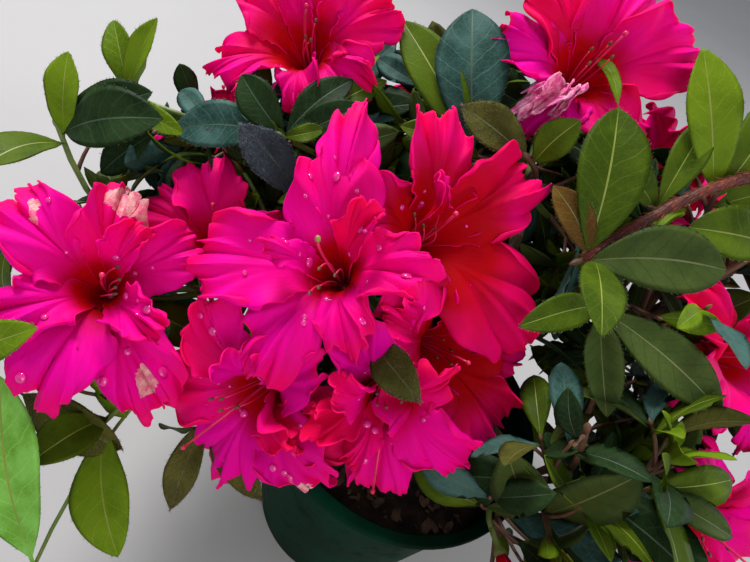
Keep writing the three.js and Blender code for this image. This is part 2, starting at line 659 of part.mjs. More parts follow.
// Each mass is one solid: a stem, its twigs and their leaves, fused
function buildMasses() {
  const growths = Object.keys(MASSES).map(startGrowth);
  for (const growth of growths) growBloomShoots(growth);
  for (const growth of growths) growPlacedShoots(growth);
  for (const growth of growths) growLeaves(growth, true);
  for (const growth of growths) {
    growSeededShoots(growth);
    growLeaves(growth, false);
  }
  for (const { name, hub, stem } of growths) {
    const foot = hub.clone().addScaledVector(stem, CLEAR);
    const knot = limb([foot, foot.clone().addScaledVector(stem, STEM_LENGTH)], STEM_RADII, 5, 1);
    const pieces = grown.filter((piece) => piece.name === name).map((piece) => piece.solid);
    addNode("foliage_" + name, largestPiece(Manifold.union([knot, ...pieces])), LEAF_GREEN);
  }
}

buildPot();
buildPottingMix();
buildTrunk();
buildBoughs();
buildBlooms();
buildMasses();

export default shrub;
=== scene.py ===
"""The looks of an azalea in bloom in its nursery pot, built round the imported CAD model.

Blender's metres and +Z up. Sizes are named in millimetres, as in the part's source, and MM turns them
to metres.
"""
import math

import bpy
import numpy as np
from mathutils import Matrix, Quaternion, Vector
from mathutils.bvhtree import BVHTree


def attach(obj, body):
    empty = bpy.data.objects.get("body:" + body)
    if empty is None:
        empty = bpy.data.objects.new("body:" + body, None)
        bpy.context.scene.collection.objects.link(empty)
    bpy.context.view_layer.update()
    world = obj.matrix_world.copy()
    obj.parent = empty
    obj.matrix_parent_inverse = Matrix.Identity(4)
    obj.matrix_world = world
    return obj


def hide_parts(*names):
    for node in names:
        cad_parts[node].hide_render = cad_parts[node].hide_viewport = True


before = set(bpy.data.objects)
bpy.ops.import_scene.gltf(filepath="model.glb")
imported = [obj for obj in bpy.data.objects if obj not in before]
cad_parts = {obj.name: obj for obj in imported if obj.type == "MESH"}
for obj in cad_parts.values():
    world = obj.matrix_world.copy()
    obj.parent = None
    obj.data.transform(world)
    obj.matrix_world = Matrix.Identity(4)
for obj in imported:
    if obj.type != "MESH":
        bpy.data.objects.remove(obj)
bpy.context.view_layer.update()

MM = 0.001
CIRCLE = 2 * math.pi
BODY = "root"

# The camera of the photograph, in the row frame
CAMERA_PLACE = (-41, -165, 345)
CAMERA_LOOKS_DOWN = 43.7
CAMERA_ROLL = 26.1
PHOTO_WIDTH = 750
FOCAL_PIXELS = 541
SENSOR_WIDTH = 36

# The part's own sizes
CLEAR = 0.3
SEED = 41
POT_HEIGHT = 125
POT_RIM_RADIUS = 70
POT_FOOT_RADIUS = 52
POT_WALL = 2.2
POT_FLOOR = 3
COLLAR_DROP = 22
COLLAR_STEP = 1.6
RIM_LIP = 3
RIM_DROP = 5
DRAIN_HOLES = 6
DRAIN_RADIUS = 4.5
DRAIN_RING_RADIUS = 38
SOIL_LEVEL = 108
POT_SIDES = 96
SOIL_SIDES = 88
SOIL_RINGS = 16
SOIL_SINK = 1.2
SOIL_GAP = 0.8

TRUNK_ROUTE = [(2, 4, 0), (5, 9, 26), (9, 24, 60), (12, 36, 92)]
TRUNK_RADII = [9, 6.4, 5.4, 4.2, 3.2]
TRUNK_PLACES = 40
BOUGH_RADII = [3.2, 2]

STEM_LENGTH = 5
STEM_RADII = [2, 2.2]
TWIG_STEPS = 3
TWIG_RADII = [1.7, 1.1]
SIDE_TWIG_SHARE = 0.8
LEAF_LENGTH = 50
LEAF_LENGTHS = (0.72, 1.14)
LEAF_WIDTH = 22
LEAF_WIDEST = 0.52
LEAF_SAG = 0.12
LEAVES_PER_WHORL = 7
LEAF_FACE_BY_EYE = Vector((-0.1, -0.7, 0.7))
WHORL_SPREAD = (49, 75)
WHORL_STEP = 2.2
WHORL_BACK = 1
BLOOM_WHORL_BACK = 8
BLOOM_STALK_BEND = 24
SPRING_COST = 0.4
SHOOT_SPACING = 24
SHOOT_TRIES = 120
SHOOT_STRAY = 1.6
SHOOT_REACH = (0.55, 0.93)
BLOOM_DEPTH = 38
THROAT_RADIUS = 6.5

CROWN_CENTRE = Vector((-8, 18, 150))
CROWN_REACH = Vector((158, 138, 138))
CROWN_FLOOR = 112
CROWN_EDGE = 1.14
FRONT_GAP = [(-75, -140, 100), (60, -58, 236)]
HUB_SHARE = 0.45
OPEN_TO_VIEW = {"near": 2, "far": 50, "share": 0.36}

# Each mass of foliage: where its bough leaves the trunk, the bough's bend and end, the way its leafy
# shoots fan out, and how many of those it carries
MASS_TABLE = {
    "front": (26, (-8, 14, 134), (-32, 6, 140), (-0.3, -0.3, 0.2), 3),
    "left": (26, (-40, 12, 138), (-88, 2, 148), (-1, -0.25, 0.3), 5),
    "back_left": (52, (-30, 48, 170), (-72, 62, 186), (-0.8, 0.5, 0.5), 10),
    "crest": (84, (8, 44, 212), (2, 52, 226), (0.1, 0.3, 1), 9),
    "right": (58, (42, 34, 178), (74, 40, 194), (0.9, 0.1, 0.6), 6),
    "right_front": (30, (30, 2, 140), (56, -22, 144), (0.9, -0.6, 0.1), 10),
    "back_right": (44, (44, 60, 160), (78, 84, 172), (0.7, 0.7, 0.4), 10),
    "back": (38, (0, 60, 150), (-8, 88, 158), (-0.1, 1, 0.35), 12),
}
MASSES = {name: dict(zip(("from", "bend", "hub", "fan", "shoots"), row)) for name, row in MASS_TABLE.items()}

# Each bloom: its mass, the centre of its throat, the way it faces (turn, lift), its spin and its span
BLOOM_TABLE = [
    ("front", (-57, -34, 216), -112, 52, 8, 92),
    ("front", (-29, 3, 219), -66, 54, 30, 92),
    ("front", (-18, -48, 180), -82, 26, 12, 84),
    ("front", (-64, -58, 161), -104, 20, 46, 86),
    ("front", (-4, -14, 183), -48, 42, 0, 78),
    ("left", (-129, -57, 180), -70, 58, 20, 86),
    ("left", (-110, -9, 176), -110, 62, 50, 68),
    ("back_left", (-116, 62, 237), -108, 50, 10, 84),
    ("crest", (0, 84, 272), -88, 46, 0, 88),
    ("right", (112, 26, 216), -55, 50, 25, 84),
    ("right_front", (126, -24, 168), -50, 40, 5, 84),
    ("right_front", (66, -84, 142), -62, 8, 15, 80),
    ("back_right", (74, 122, 214), 62, 46, 30, 86),
    ("back_right", (132, 78, 178), 28, 32, 0, 84),
    ("back", (-36, 140, 206), 100, 42, 20, 86),
    ("back", (20, 146, 152), 81, 16, 45, 80),
    ("back_left", (-146, 68, 178), 150, 30, 0, 84),
    ("back_left", (-92, 122, 182), 122, 26, 35, 84),
    ("crest", (58, 104, 246), 44, 58, 12, 82),
]
BLOOMS = [dict(zip(("mass", "at", "turn", "lift", "spin", "span"), row)) for row in BLOOM_TABLE]

# Leafy shoots given one by one: the mass, the shoot's tip, a point that steers it, and each leaf's tip, width
# and green
PLACED_SHOOTS = [
    ("left", (-84, 12, 200), (-84, 12, 176), [(-116, 12, 220, 18, "hairy"), (-68, 32, 226, 14, "dark")]),
    ("left", (-190, 0, 187), (-152, -22, 138),
     [(-156, 13, 215, 20, "dark"), (-145, -1, 216, 25, "dark"), (-193, 10, 216, 16, "lime"),
      (-190, -38, 190, 18, "middle")]),
    ("back_left", (-178, 22, 200), (-134, 22, 206),
     [(-138, 10, 205, 11, "lime"), (-168, 34, 234, 11, "lime"), (-192, 38, 222, 13, "lime"),
      (-186, 52, 200, 14, "middle")]),
    ("left", (-176, -58, 139), (-138, -24, 138),
     [(-148, -72, 152, 18, "lime"), (-183, -35, 171, 15, "bluish"), (-170, -56, 168, 13, "middle"),
      (-184, -90, 128, 18, "middle")]),
    ("left", (-153, -78, 116), (-122, -36, 130),
     [(-102, -82, 122, 20, "olive"), (-150, -120, 122, 22, "middle")]),
    ("left", (-115, -75, 120), (-104, -36, 134),
     [(-82, -113, 110, 24, "lime"), (-122, -104, 134, 18, "middle")]),
    ("left", (-80, -58, 126), (-92, -28, 134), [(-74, -92, 116, 14, "olive"), (-44, -78, 126, 14, "olive")]),
    ("left", (-106, -126, 104), (-121, -68, 114), [(-146, -88, 148, 30, "fresh")]),
    ("back_left", (-102, 22, 217), (-86, 44, 202),
     [(-144, 9, 206, 20, "bluish"), (-127, 30, 230, 16, "dark"), (-78, 36, 238, 16, "dark")]),
    ("crest", (-28, 50, 232), (-14, 54, 234),
     [(-55, 85, 276, 31, "bluish"), (-80, 76, 262, 21, "middle"), (-58, 34, 240, 15, "middle")]),
    ("crest", (-6, 48, 243), (4, 50, 238), [(-40, 48, 252, 18, "olive"), (3, 49, 266, 15, "middle")]),
    ("right", (28, 19, 228), (66, 56, 246),
     [(78, 26, 250, 26, "netted"), (15, 60, 273, 27, "middle"), (6, 32, 246, 14, "russet"),
      (34, -24, 236, 17, "middle")]),
    ("right", (42, 12, 217), (70, 28, 222),
     [(95, -14, 219, 20, "netted"), (58, -26, 202, 15, "netted"), (16, -14, 214, 14, "middle")]),
    ("right", (49, 48, 247), (70, 60, 242), [(54, 80, 278, 15, "middle"), (20, 48, 258, 14, "middle")]),
    ("right", (72, 66, 256), (78, 58, 236),
     [(36, 84, 300, 22, "lime"), (76, 96, 298, 20, "middle"), (104, 78, 270, 18, "middle")]),
    ("right", (101, 57, 253), (92, 52, 228),
     [(62, 41, 251, 22, "middle"), (120, 84, 274, 18, "middle"), (132, 44, 262, 18, "middle")]),
]

# Twigs that only the scene has: the mass, the route, the radii and the bark
SCENE_TWIGS = [
    ("right", [(78, 44, 200), (139, 99, 253), (91, 93, 310), (29, 20, 229)], (2.6, 2.5, 1.9), "hairy_stem"),
    ("front", [(-48, -12, 185), (-42, -24, 186), (-33, -37, 195)], (1.0, 0.8), "stalk"),
    ("left", [(-176, -58, 139), (-176, -76, 141), (-163, -87, 151)], (1.0, 0.8), "stalk"),
    ("right", [(29, 20, 229), (24, 48, 246), (17, 67, 270)], (1.0, 0.7), "stalk"),
]
# Leaves that only the scene has: the foot, the tip, the width and the green
SCENE_LEAVES = {
    "left": [((-163, -87, 151), (-131, -86, 186), 14, "lime")],
    "front": [((-33, -37, 195), (-12, -60, 206), 14, "olive")],
    "right": [((17, 67, 270), (2, 94, 278), 6, "lime")],
    "back_left": [((-101.5, 22.7, 216.5), (-87, 50, 240), 15, "dark"),
                  ((-100, 24.8, 215), (-75, 59, 244), 13, "middle"),
                  ((-101.5, 22.7, 216.5), (-87, 27, 226), 8, "middle")],
}

# What each run of draws adds to the seed, and its step from one shoot or bloom to the next
SEEDS = {"mass": 1000, "shoot": 100, "whorl": 500, "finer": 20000, "finer_step": 40, "spray": 10, "tuft": 30,
         "leaf": 7000, "hair": 8000, "bloom": 5000, "bloom_step": 17, "chip": 9000}

# What the scene adds to the wood
WOOD_SIDES = 18
WOOD_CUTS = 34
BARK_RELIEF = 0.5
TRUNK_FLARE = 1.5
TWIG_SIDES = 7
TWIG_RINGS = 9
TWIG_RELIEF = 0.09
SCENE_TWIG_SIDES = 10
SCENE_TWIG_RINGS = 16
# A bud, as shares of its twig's radius: how far out, and how wide
BUD_PROFILE = [(0.6, 1.25), (1.9, 1.3), (3.2, 0.85), (4.4, 0.1)]
BRISTLES = 1700
BRISTLE_LENGTHS = (2.2, 4.6)
BRISTLE_LEANS = (1.4, 6)
BRISTLE_RADIUS = 0.15

# Finer twigs and their leaves
FINE_TWIG_LENGTHS = (16, 30)
FINE_TWIG_RADII = [1.0, 0.7]
FINE_TWIG_PLACES = (0.4, 0.62, 0.84)
FINE_LEAVES = 6
FINE_LEAF_LENGTHS = (20, 36)
FINE_LEAF_SHARE = 0.4
FINE_LEAF_STEP = 0.9
TUFT_LEAVES = 5
TUFT_LENGTHS = (13, 27)
TUFT_SPREAD = (18, 42)
YOUNG_LIME = 0.6
LEAF_ROOM = 8
# What the photograph's camera has to see: places along a leaf or petal, and how much round and before them
SHOWN_SHARES = (0.3, 0.55, 0.8, 1)
SHOWN_PETAL = 5
SHOWN_MARGIN = 4
SHOWN_HALF = 0.35
# How near a leaf or twig stands to the shoot that carries it, and the shoots that are slimmer
CARRY_REACH = 1.5
CARRY_PLACES = 40
SLIM_TIPS = [Vector((-106, -126, 104))]
SLIM_SHARE = 0.6
GREEN_MASSES = ("left", "back_left")

# The form of a leaf
LEAF_FOLD = 0.3
LEAF_FOLD_STRAY = (0.5, 1.3)
LEAF_CURL = (-0.02, 0.1)
LEAF_SWAY = (-0.05, 0.05)
LEAF_WAVE = (0.2, 0.9)
LEAF_ARCH = 0.07
LEAF_SHEET = 0.34
LEAF_RIB = 0.028
LEAF_STALK = 0.06
LEAF_STALK_SHARE = 0.055
# Brings the widest place of a leaf's outline to its full width
LEAF_FULL = 2.367
LEAF_COLUMNS = (-1, -0.55, -LEAF_RIB, LEAF_RIB, 0.55, 1)
LEAF_ROWS = 9
FULL_LEAF_COLUMNS = (-1, -0.8, -0.55, -0.28, -LEAF_RIB, LEAF_RIB, 0.28, 0.55, 0.8, 1)
FULL_LEAF_ROWS = 20
GREEN_SHARES = {"dark": 0.3, "bluish": 0.14, "netted": 0.14, "middle": 0.24, "lime": 0.12, "olive": 0.06}
MARGIN_HAIRS = 60
MARGIN_HAIR_LENGTHS = (0.4, 1.1)
MARGIN_HAIR_LEANS = (0.6, 1.6)
FACE_HAIRS = {"hairy": 1500, "olive": 500}
FACE_HAIR_LENGTHS = (0.8, 1.9)
FACE_HAIR_TURNS = (-0.6, 0.6)
FACE_HAIR_RISES = (0.3, 0.8)
HAIR_RADIUS = 0.08

# Bark chips: low flat shards of a few faces
CHIPS = 340
CHIP_SIDES = 6
CHIP_LENGTHS = (2.2, 8.5)
CHIP_WIDTHS = (0.35, 0.7)
CHIP_HEIGHTS = (0.7, 1.9)
CHIP_RING = (0.035, 0.93)
CHIP_LEAN = 0.35

PETAL_GRIDS = {"near": (65, 25), "far": (37, 21), "patched": (87, 57)}
PETAL_THICKNESS = 0.45
LOBES = 5

# Petals given one by one, bloom by bloom: the turn round the bloom's axis, the reach, the width, the rise of
# the petal's end and the fold of its sides
PETAL_MEASURES = ("turn", "reach", "wide", "rise", "fold")
PETALS_BY_EYE = {
    1: [(100, 41, 1.16, 3, -0.1), (93, 57, 0.52, 6, -0.15), (187, 50, 1.02, -2, 0.06),
        (246, 45, 0.98, -9, -0.1), (300, 31, 0.92, -4, 0.0), (8, 35, 1.0, 3, 0.22),
        (180, 19, 0.8, 11, -0.5), (52, 24, 0.7, 9, 0.4)],
    2: [(88, 48, 0.95, 4, 0.1), (33, 51, 1.0, 3, 0.05), (318, 59, 1.12, -4, -0.08), (250, 38, 1.0, -6, 0.0),
        (160, 40, 1.05, -2, 0.1), (108, 19, 0.55, 15, 0.6)],
    3: [(284, 42, 1.05, -5, -0.1), (336, 42, 0.95, -4, 0.1), (52, 28, 0.9, 3, 0.0), (125, 38, 1.0, 4, 0.1),
        (212, 42, 1.0, 0, 0.12), (150, 24, 0.8, 10, 0.35), (190, 27, 0.75, 9, 0.45), (255, 24, 0.7, 8, -0.4)],
    4: [(216, 47, 1.1, -4, -0.06), (150, 43, 1.1, -3, 0.04), (288, 44, 1.08, -2, 0.1), (10, 40, 1.0, 4, 0.1),
        (80, 40, 1.0, 4, 0.0), (310, 27, 0.8, 9, 0.4), (40, 26, 0.8, 8, 0.3)],
    5: [(340, 40, 1.2, 10, 0.1), (40, 38, 1.15, 5, 0.1), (112, 30, 1.0, 2, 0.0), (188, 36, 1.1, 7, 0.0),
        (270, 43, 1.2, 7, -0.06)],
    6: [(144, 43, 1.1, -2, -0.06), (88, 36, 0.9, 2, 0.1), (34, 38, 1.0, -2, 0.1), (214, 36, 0.95, -3, 0.0),
        (258, 45, 1.08, -6, -0.06), (306, 50, 0.95, -8, -0.03), (330, 29, 0.8, 9, 0.45),
        (60, 25, 0.7, 8, 0.3)],
    7: [(66, 35, 1.3, 5, 0.05), (124, 33, 1.15, 4, 0.0), (196, 31, 0.95, 2, 0.1), (262, 30, 0.95, 0, 0.0),
        (340, 31, 0.95, 2, 0.0)],
    8: [(205, 42, 0.95, -2, 0.05), (134, 42, 1.1, 3, 0.0), (78, 43, 1.12, 4, 0.05), (22, 44, 1.1, 2, 0.1),
        (336, 38, 0.9, -2, 0.0), (282, 32, 0.95, -2, 0.1), (100, 26, 0.8, 9, 0.4)],
    9: [(189, 41, 1.0, 2, 0.1), (139, 46, 1.12, 3, 0.05), (87, 46, 1.12, 1, 0.0), (36, 48, 1.15, 2, 0.1),
        (322, 42, 1.0, -2, 0.0), (262, 37, 0.95, -5, 0.0)],
}
# Withered petals by the same measures
FADED_PETALS = {
    9: [(245, 33, 0.42, 2, 0.7), (230, 29, 0.36, 4, -0.6), (258, 27, 0.3, 3, 0.5), (238, 38, 0.3, 0, -0.4)],
}
# Faded places on petals: the petal, the place across and along it, and the reach both ways
FADED_PLACES = {
    4: [(2, -0.42, 0.96, 0.14, 0.045)],
    6: [(1, -0.35, 0.93, 0.55, 0.16), (5, 0.05, 0.84, 0.14, 0.07), (0, -0.1, 0.82, 0.12, 0.04)],
}
# How far the deep red of the throat, which is painted shade, runs out along a bloom's petals
DEEP_REDS = {2: 0.85, 5: 1.0, 8: 0.5, 9: 0.4}
DEEP_SHIFT = 0.42
# How near the margin a petal's rim, which carries a painted highlight, begins
RIM_FROM = 0.97
# Where the petals of a bloom lie between the reddest pink, 0, which is painted shade, and the bluest, 1,
# which is a painted reflection of the sky
PINKS = {1: (0.2, 0.9), 2: (0.0, 0.4), 6: (0.5, 0.8), 8: (0.0, 0.45)}
# Measures of the petals that the rule deals out, their reach as a share of the bloom's
OUTER_PETALS = {"reach": (0.9, 1.07), "wide": (1.0, 1.14), "rise": (-8, 4), "fold": (-0.14, 0.12)}
INNER_PETALS = {"reach": (0.42, 0.62), "wide": (0.6, 0.86), "rise": (6, 13), "fold": (-0.4, 0.5)}
MOST_INNER = 3
INNER_FRILL = 0.6
WITHERED_FRILL = 0.85
TURN_STRAY = 7
INNER_REACH = 0.6
PETAL_LIFTS = {True: (0, 0.6), False: (2, 3.2)}
STAMENS = 4
THREAD_RINGS = 10
# The pistil and a stamen: how high each ends, how far it leans out, its radius and its knob's
PISTIL = {"rise": (17, 24), "spread": 0.6, "radius": 0.5, "girth": 0.9}
STAMEN = {"rise": (2, 9), "spread": (2.5, 6), "radius": 0.3, "girth": 0.6}
KNOB_PROFILE = [(-0.2, 0.3), (0.3, 1), (1.1, 1.05), (1.8, 0.8), (2.1, 0.25)]
# The stalk and the calyx: heights and radii
CALYX_PROFILE = [(-BLOOM_DEPTH, 1.2), (-34, 1.15), (-30.5, 1.3), (-29, 2.3), (-27.6, 2.7), (-26.6, 2.2)]
# Pistils given one by one: the way each leans, how far, and how high it ends
PISTILS = {1: (98, 3, 18), 4: (192, 30, 13), 3: (280, 34, 6)}
# Beads of water: how many on each bloom, their radii, and where they lie on a petal's grid
BEADS = {1: 34, 2: 10, 3: 16, 4: 22, 6: 18}
BEAD_RADII = (0.7, 2.0)
BEAD_ROWS = (0.4, 0.86)
BEAD_COLUMNS = (0.2, 0.8)
BEAD_PROFILE = [(0, 1.0), (0.2, 0.98), (0.4, 0.86), (0.56, 0.62), (0.64, 0.3), (0.66, 0.08)]
# A petal's half width as an angle, by its place along
PETAL_ANGLES = [(0, 46), (0.26, 46), (0.5, 43), (0.72, 42), (0.88, 37), (1, 27)]
# A petal's profile: its funnel, then by shares of its reach the height and the share of its rise
PETAL_FUNNEL = [(1.8, -27), (5.2, -16)]
PETAL_PROFILE = [(0.4, 7, 0.3), (0.76, 8, 0.6), (1, 1, 1)]
SHOULDER = 0.3
PLEAT = 0.18
CREASE = 0.5
CREASE_WIDTH = 0.17
CUPPING = 2.2
# Waves of a petal's margin: how many from its middle to its foot, how high, how close to the margin
FRILLS = [(1.3, 3.0, 2.2), (2.9, 2.6, 4.0), (4.7, 1.5, 5.4), (6.8, 0.7, 8.0)]
FRILL_SLIDE = 0.3
# The finest crimps of the margin, by the same measures
CRIMPS = (9.4, 0.75, 10)
CRIMP_PUSH = 0.8


# Plain geometry

def mix(a, b, share):
    return a + (b - a) * share


def between(pair, share):
    return mix(pair[0], pair[1], share)


def smooth_step(low, high, value):
    share = np.clip((value - low) / (high - low), 0, 1)
    return share * share * (3 - 2 * share)


def dice(seed):
    """A seeded run of numbers from 0 to 1, the one that the part's source rolls."""
    whole = 0xFFFFFFFF
    state = seed & whole

    def roll():
        nonlocal state
        state = (state + 0x6D2B79F5) & whole
        t = ((state ^ (state >> 15)) * (state | 1)) & whole
        t ^= (t + ((t ^ (t >> 7)) * (t | 61) & whole)) & whole
        return ((t ^ (t >> 14)) & whole) / (whole + 1)

    return roll


def on_curve(route, share):
    """A place on the smooth curve that its route's points steer: 0 is its start and 1 its end."""
    row = [Vector(p) for p in route]
    while len(row) > 1:
        row = [a.lerp(b, share) for a, b in zip(row, row[1:])]
    return row[0]


def axis_of(route, steps):
    return [on_curve(route, i / steps) for i in range(steps + 1)]


def back_from_tip(axis, distance):
    """The place on a twig's axis at a distance back from its tip."""
    left = distance
    for ahead, behind in zip(axis[::-1], axis[-2::-1]):
        step = (ahead - behind).length
        if left <= step:
            return ahead.lerp(behind, left / step)
        left -= step
    return axis[0].copy()


def heading_at(route, share):
    """The way that a route runs at a share of its length."""
    return (on_curve(route, min(1, share + 0.05)) - on_curve(route, max(0, share - 0.05))).normalized()


def leaf_middle(leaf):
    return leaf["foot"].lerp(leaf["tip"], LEAF_WIDEST)


def polar(radius, turn, height):
    """A place round the vertical axis."""
    return Vector((radius * math.cos(turn), radius * math.sin(turn), height))


def facing(bloom):
    lift = math.radians(bloom["lift"])
    return polar(math.cos(lift), math.radians(bloom["turn"]), math.sin(lift))


def bloom_foot(bloom):
    return Vector(bloom["at"]) - facing(bloom) * BLOOM_DEPTH


# The shader's sums

class Socket:
    """A node's output. Plain arithmetic on it adds Math nodes."""

    def __init__(self, finish, output):
        self.finish = finish
        self.output = output

    def sum(self, operation, *values):
        return self.finish.node("Math", {"operation": operation}, dict(enumerate(values)))

    def __add__(self, other):
        return self.sum("ADD", self, other)

    def __radd__(self, other):
        return self.sum("ADD", other, self)

    def __sub__(self, other):
        return self.sum("SUBTRACT", self, other)

    def __rsub__(self, other):
        return self.sum("SUBTRACT", other, self)

    def __mul__(self, other):
        return self.sum("MULTIPLY", self, other)


class Finish:
    """A material: the constants of its Principled shader, and the nodes that vary it."""

    def __init__(self, name, **constants):
        self.material = bpy.data.materials.new(name)
        self.material.use_nodes = True
        self.tree = self.material.node_tree
        self.shader = self.tree.nodes["Principled BSDF"]
        for socket, value in constants.items():
            self.shader.inputs[socket.replace("_", " ")].default_value = value

    def node(self, kind, settings=None, values=None, out=0):
        made = self.tree.nodes.new("ShaderNode" + kind)
        for setting, value in (settings or {}).items():
            setattr(made, setting, value)
        for socket, value in (values or {}).items():
            if isinstance(value, Socket):
                self.tree.links.new(value.output, made.inputs[socket])
            else:
                made.inputs[socket].default_value = value
        return Socket(self, made.outputs[out])

    def blend(self, first, second, share):
        """Mixes two colours, each a socket or red, green and blue."""
        first, second = [c if isinstance(c, Socket) else (*c, 1) for c in (first, second)]
        return self.node("Mix", {"data_type": "RGBA"}, {0: share, 6: first, 7: second}, out=2)

    def object_place(self):
        return self.node("TexCoord", out="Object")

    def noise(self, scale, detail, place=None, distortion=0):
        place = place or self.object_place()
        values = {"Vector": place, "Scale": scale, "Detail": detail, "Distortion": distortion}
        return self.node("TexNoise", None, values)

    def step(self, value, low, high):
        settings = {"interpolation_type": "SMOOTHSTEP"}
        return self.node("MapRange", settings, {0: value, 1: low, 2: high, 3: 0, 4: 1})

    def fed(self, colour, roughness=None, height=None, strength=1.0, distance=0.001):
        """The material, once its shader is fed with its colour, its roughness and its relief."""
        sockets = {"Base Color": colour, "Roughness": roughness}
        if height:
            sockets["Normal"] = self.node("Bump", None, {"Height": height, "Strength": strength,
                                                         "Distance": distance})
        for name, socket in sockets.items():
            if socket:
                self.tree.links.new(socket.output, self.shader.inputs[name])
        return self.material

    def parts_of(self, attribute):
        """The three numbers of a piece's own vector attribute."""
        whole = self.node("Attribute", {"attribute_name": attribute}, out="Vector")
        return [self.node("SeparateXYZ", None, {0: whole}, out=k) for k in range(3)]


def petal_finish():
    """Magenta pink, deep red painted shade in the throat, fine veins along each petal, redder near the
    margin, a painted highlight on the rim.
    """
    finish = Finish("petal_pink", Specular_IOR_Level=0.05, Subsurface_Weight=0.2, Subsurface_Scale=0.004)
    finish.shader.inputs["Subsurface Radius"].default_value = (1.0, 0.05, 0.3)
    across, along, tone = finish.parts_of("lie")
    cloud = finish.noise(55, 4)
    patch = finish.noise(20, 2)
    # Painted shade: the throat is deep red, which fades to pink out along the petal
    deep = finish.step(along + (cloud - 0.5) * 0.28, 0.34, 0.6)
    # Painted shade and painted reflection: the petal's tone, dealt within its bloom's range, turns the pink
    # redder where shade falls and bluer where the sky is reflected, with random patches besides
    pink = finish.blend((0.72, 0.0, 0.07), (0.84, 0.0, 0.28), finish.step(patch + tone * 0.3, 0.4, 0.8))
    # Violet for the bluest tones: a painted sheen that reflects the sky
    pink = finish.blend(pink, (0.56, 0.0, 0.25), finish.step(tone, 0.5, 1.0) * 0.5)
    colour = finish.blend((0.42, 0.0, 0.004), pink, deep)
    vein = finish.node("Math", {"operation": "SINE"}, {0: across * 52 + (cloud - 0.5) * 5})
    vein = finish.step(vein, 0.5, 1.0)
    colour = finish.blend(colour, (0.5, 0.0, 0.04), vein * 0.1)
    reddened = finish.step(along, 0.8, 1.0)
    colour = finish.blend(colour, (0.9, 0.002, 0.05), reddened * 0.45)
    # Painted highlight: a thin brighter rim along the margin
    edge = finish.step(along, 0.975, 1.0)
    colour = finish.blend(colour, (0.95, 0.01, 0.2), edge * 0.35)
    roughness = 0.52 + finish.noise(210, 2) * 0.2
    relief = finish.noise(900, 2) * 0.3 + vein * -0.25 + cloud * 0.9
    return finish.fed(colour, roughness, relief, 0.22, 0.0005)


def leaf_finish(name, dull, fresh, vein_colour, roughness):
    """One green of the leaves, netted with side veins that run from the midrib to the margin."""
    finish = Finish("leaf_" + name, Specular_IOR_Level=0.05)
    across, along, tone = finish.parts_of("lie")
    aside = finish.node("Math", {"operation": "ABSOLUTE"}, {0: across})
    cloud = finish.noise(90, 3)
    run = along * 8.5 - aside * 1.5 + (cloud - 0.5) * 0.9
    swing = finish.node("Math", {"operation": "PINGPONG"}, {0: run, 1: 0.5})
    side_vein = 1 - finish.step(swing, 0.0, 0.07)
    net = finish.node("TexVoronoi", {"feature": "DISTANCE_TO_EDGE"},
                      {"Vector": finish.object_place(), "Scale": 420})
    net = 1 - finish.step(net, 0.0, 0.08)
    colour = finish.blend(dull, fresh, finish.step(cloud + tone * 0.3, 0.4, 0.85))
    colour = finish.blend(colour, vein_colour, side_vein * 0.4)
    colour = finish.blend(colour, vein_colour, net * 0.22)
    uneven = roughness + (finish.noise(160, 2) - 0.5) * 0.25
    return finish.fed(colour, uneven, side_vein * -0.6 + net * -0.3 + cloud * 0.8, 0.3, 0.0004)


def plain_finish(name, first, second, scale, roughness, relief, distance=0.0004):
    """Two tones that noise deals out, with a fine relief."""
    finish = Finish(name)
    cloud = finish.noise(scale, 4)
    colour = finish.blend(first, second, finish.step(cloud, 0.35, 0.68))
    return finish.fed(colour, roughness + (cloud - 0.5) * 0.2, finish.noise(scale * 5, 3), relief, distance)


def bark_finish():
    """Thin grey-brown bark that peels in long strips, ruddy where it has come away."""
    finish = Finish("bark_brown", Specular_IOR_Level=0.25)
    stretched = finish.node("Mapping", None, {"Vector": finish.object_place(), "Scale": (1, 1, 0.22)})
    strips = finish.noise(260, 5, stretched, 1.2)
    cloud = finish.noise(70, 3)
    colour = finish.blend((0.075, 0.042, 0.026), (0.23, 0.15, 0.1), finish.step(strips, 0.38, 0.66))
    colour = finish.blend(colour, (0.16, 0.055, 0.028), finish.step(cloud, 0.5, 0.75) * 0.6)
    return finish.fed(colour, 0.75 + strips * 0.2, strips, 0.8, 0.0008)


def pot_finish():
    """Dark green plastic, slightly ribbed by its mould, with dried splashes low down."""
    finish = Finish("pot_plastic", Specular_IOR_Level=0.015)
    place = finish.object_place()
    height = finish.node("SeparateXYZ", None, {0: place}, out=2)
    cloud = finish.noise(38, 5)
    dust = finish.step(finish.noise(95, 6), 0.52, 0.78)
    low = 1 - finish.step(height, 0.0, 0.075)
    colour = finish.blend((0.001, 0.014, 0.006), (0.002, 0.026, 0.013), finish.step(cloud, 0.3, 0.7))
    colour = finish.blend(colour, (0.05, 0.047, 0.034), dust * (low * 0.35 + 0.01))
    scratches = finish.node("Mapping", None, {"Vector": place, "Scale": (1, 1, 14)})
    roughness = 0.42 + dust * 0.25 + (cloud - 0.5) * 0.12
    return finish.fed(colour, roughness, finish.noise(60, 3, scratches) + dust * 0.4, 0.22, 0.0005)


def bead_finish():
    """A bead of water drawn as an opaque glossy dome; its pink is painted light, the petal seen through the
    clear drop.
    """
    finish = Finish("water_bead", Roughness=0.05, Specular_IOR_Level=0.6, Coat_Weight=0.6,
                    Coat_Roughness=0.03)
    return finish.fed(finish.blend((0.62, 0.003, 0.16), (0.8, 0.02, 0.34), finish.noise(60, 1)))


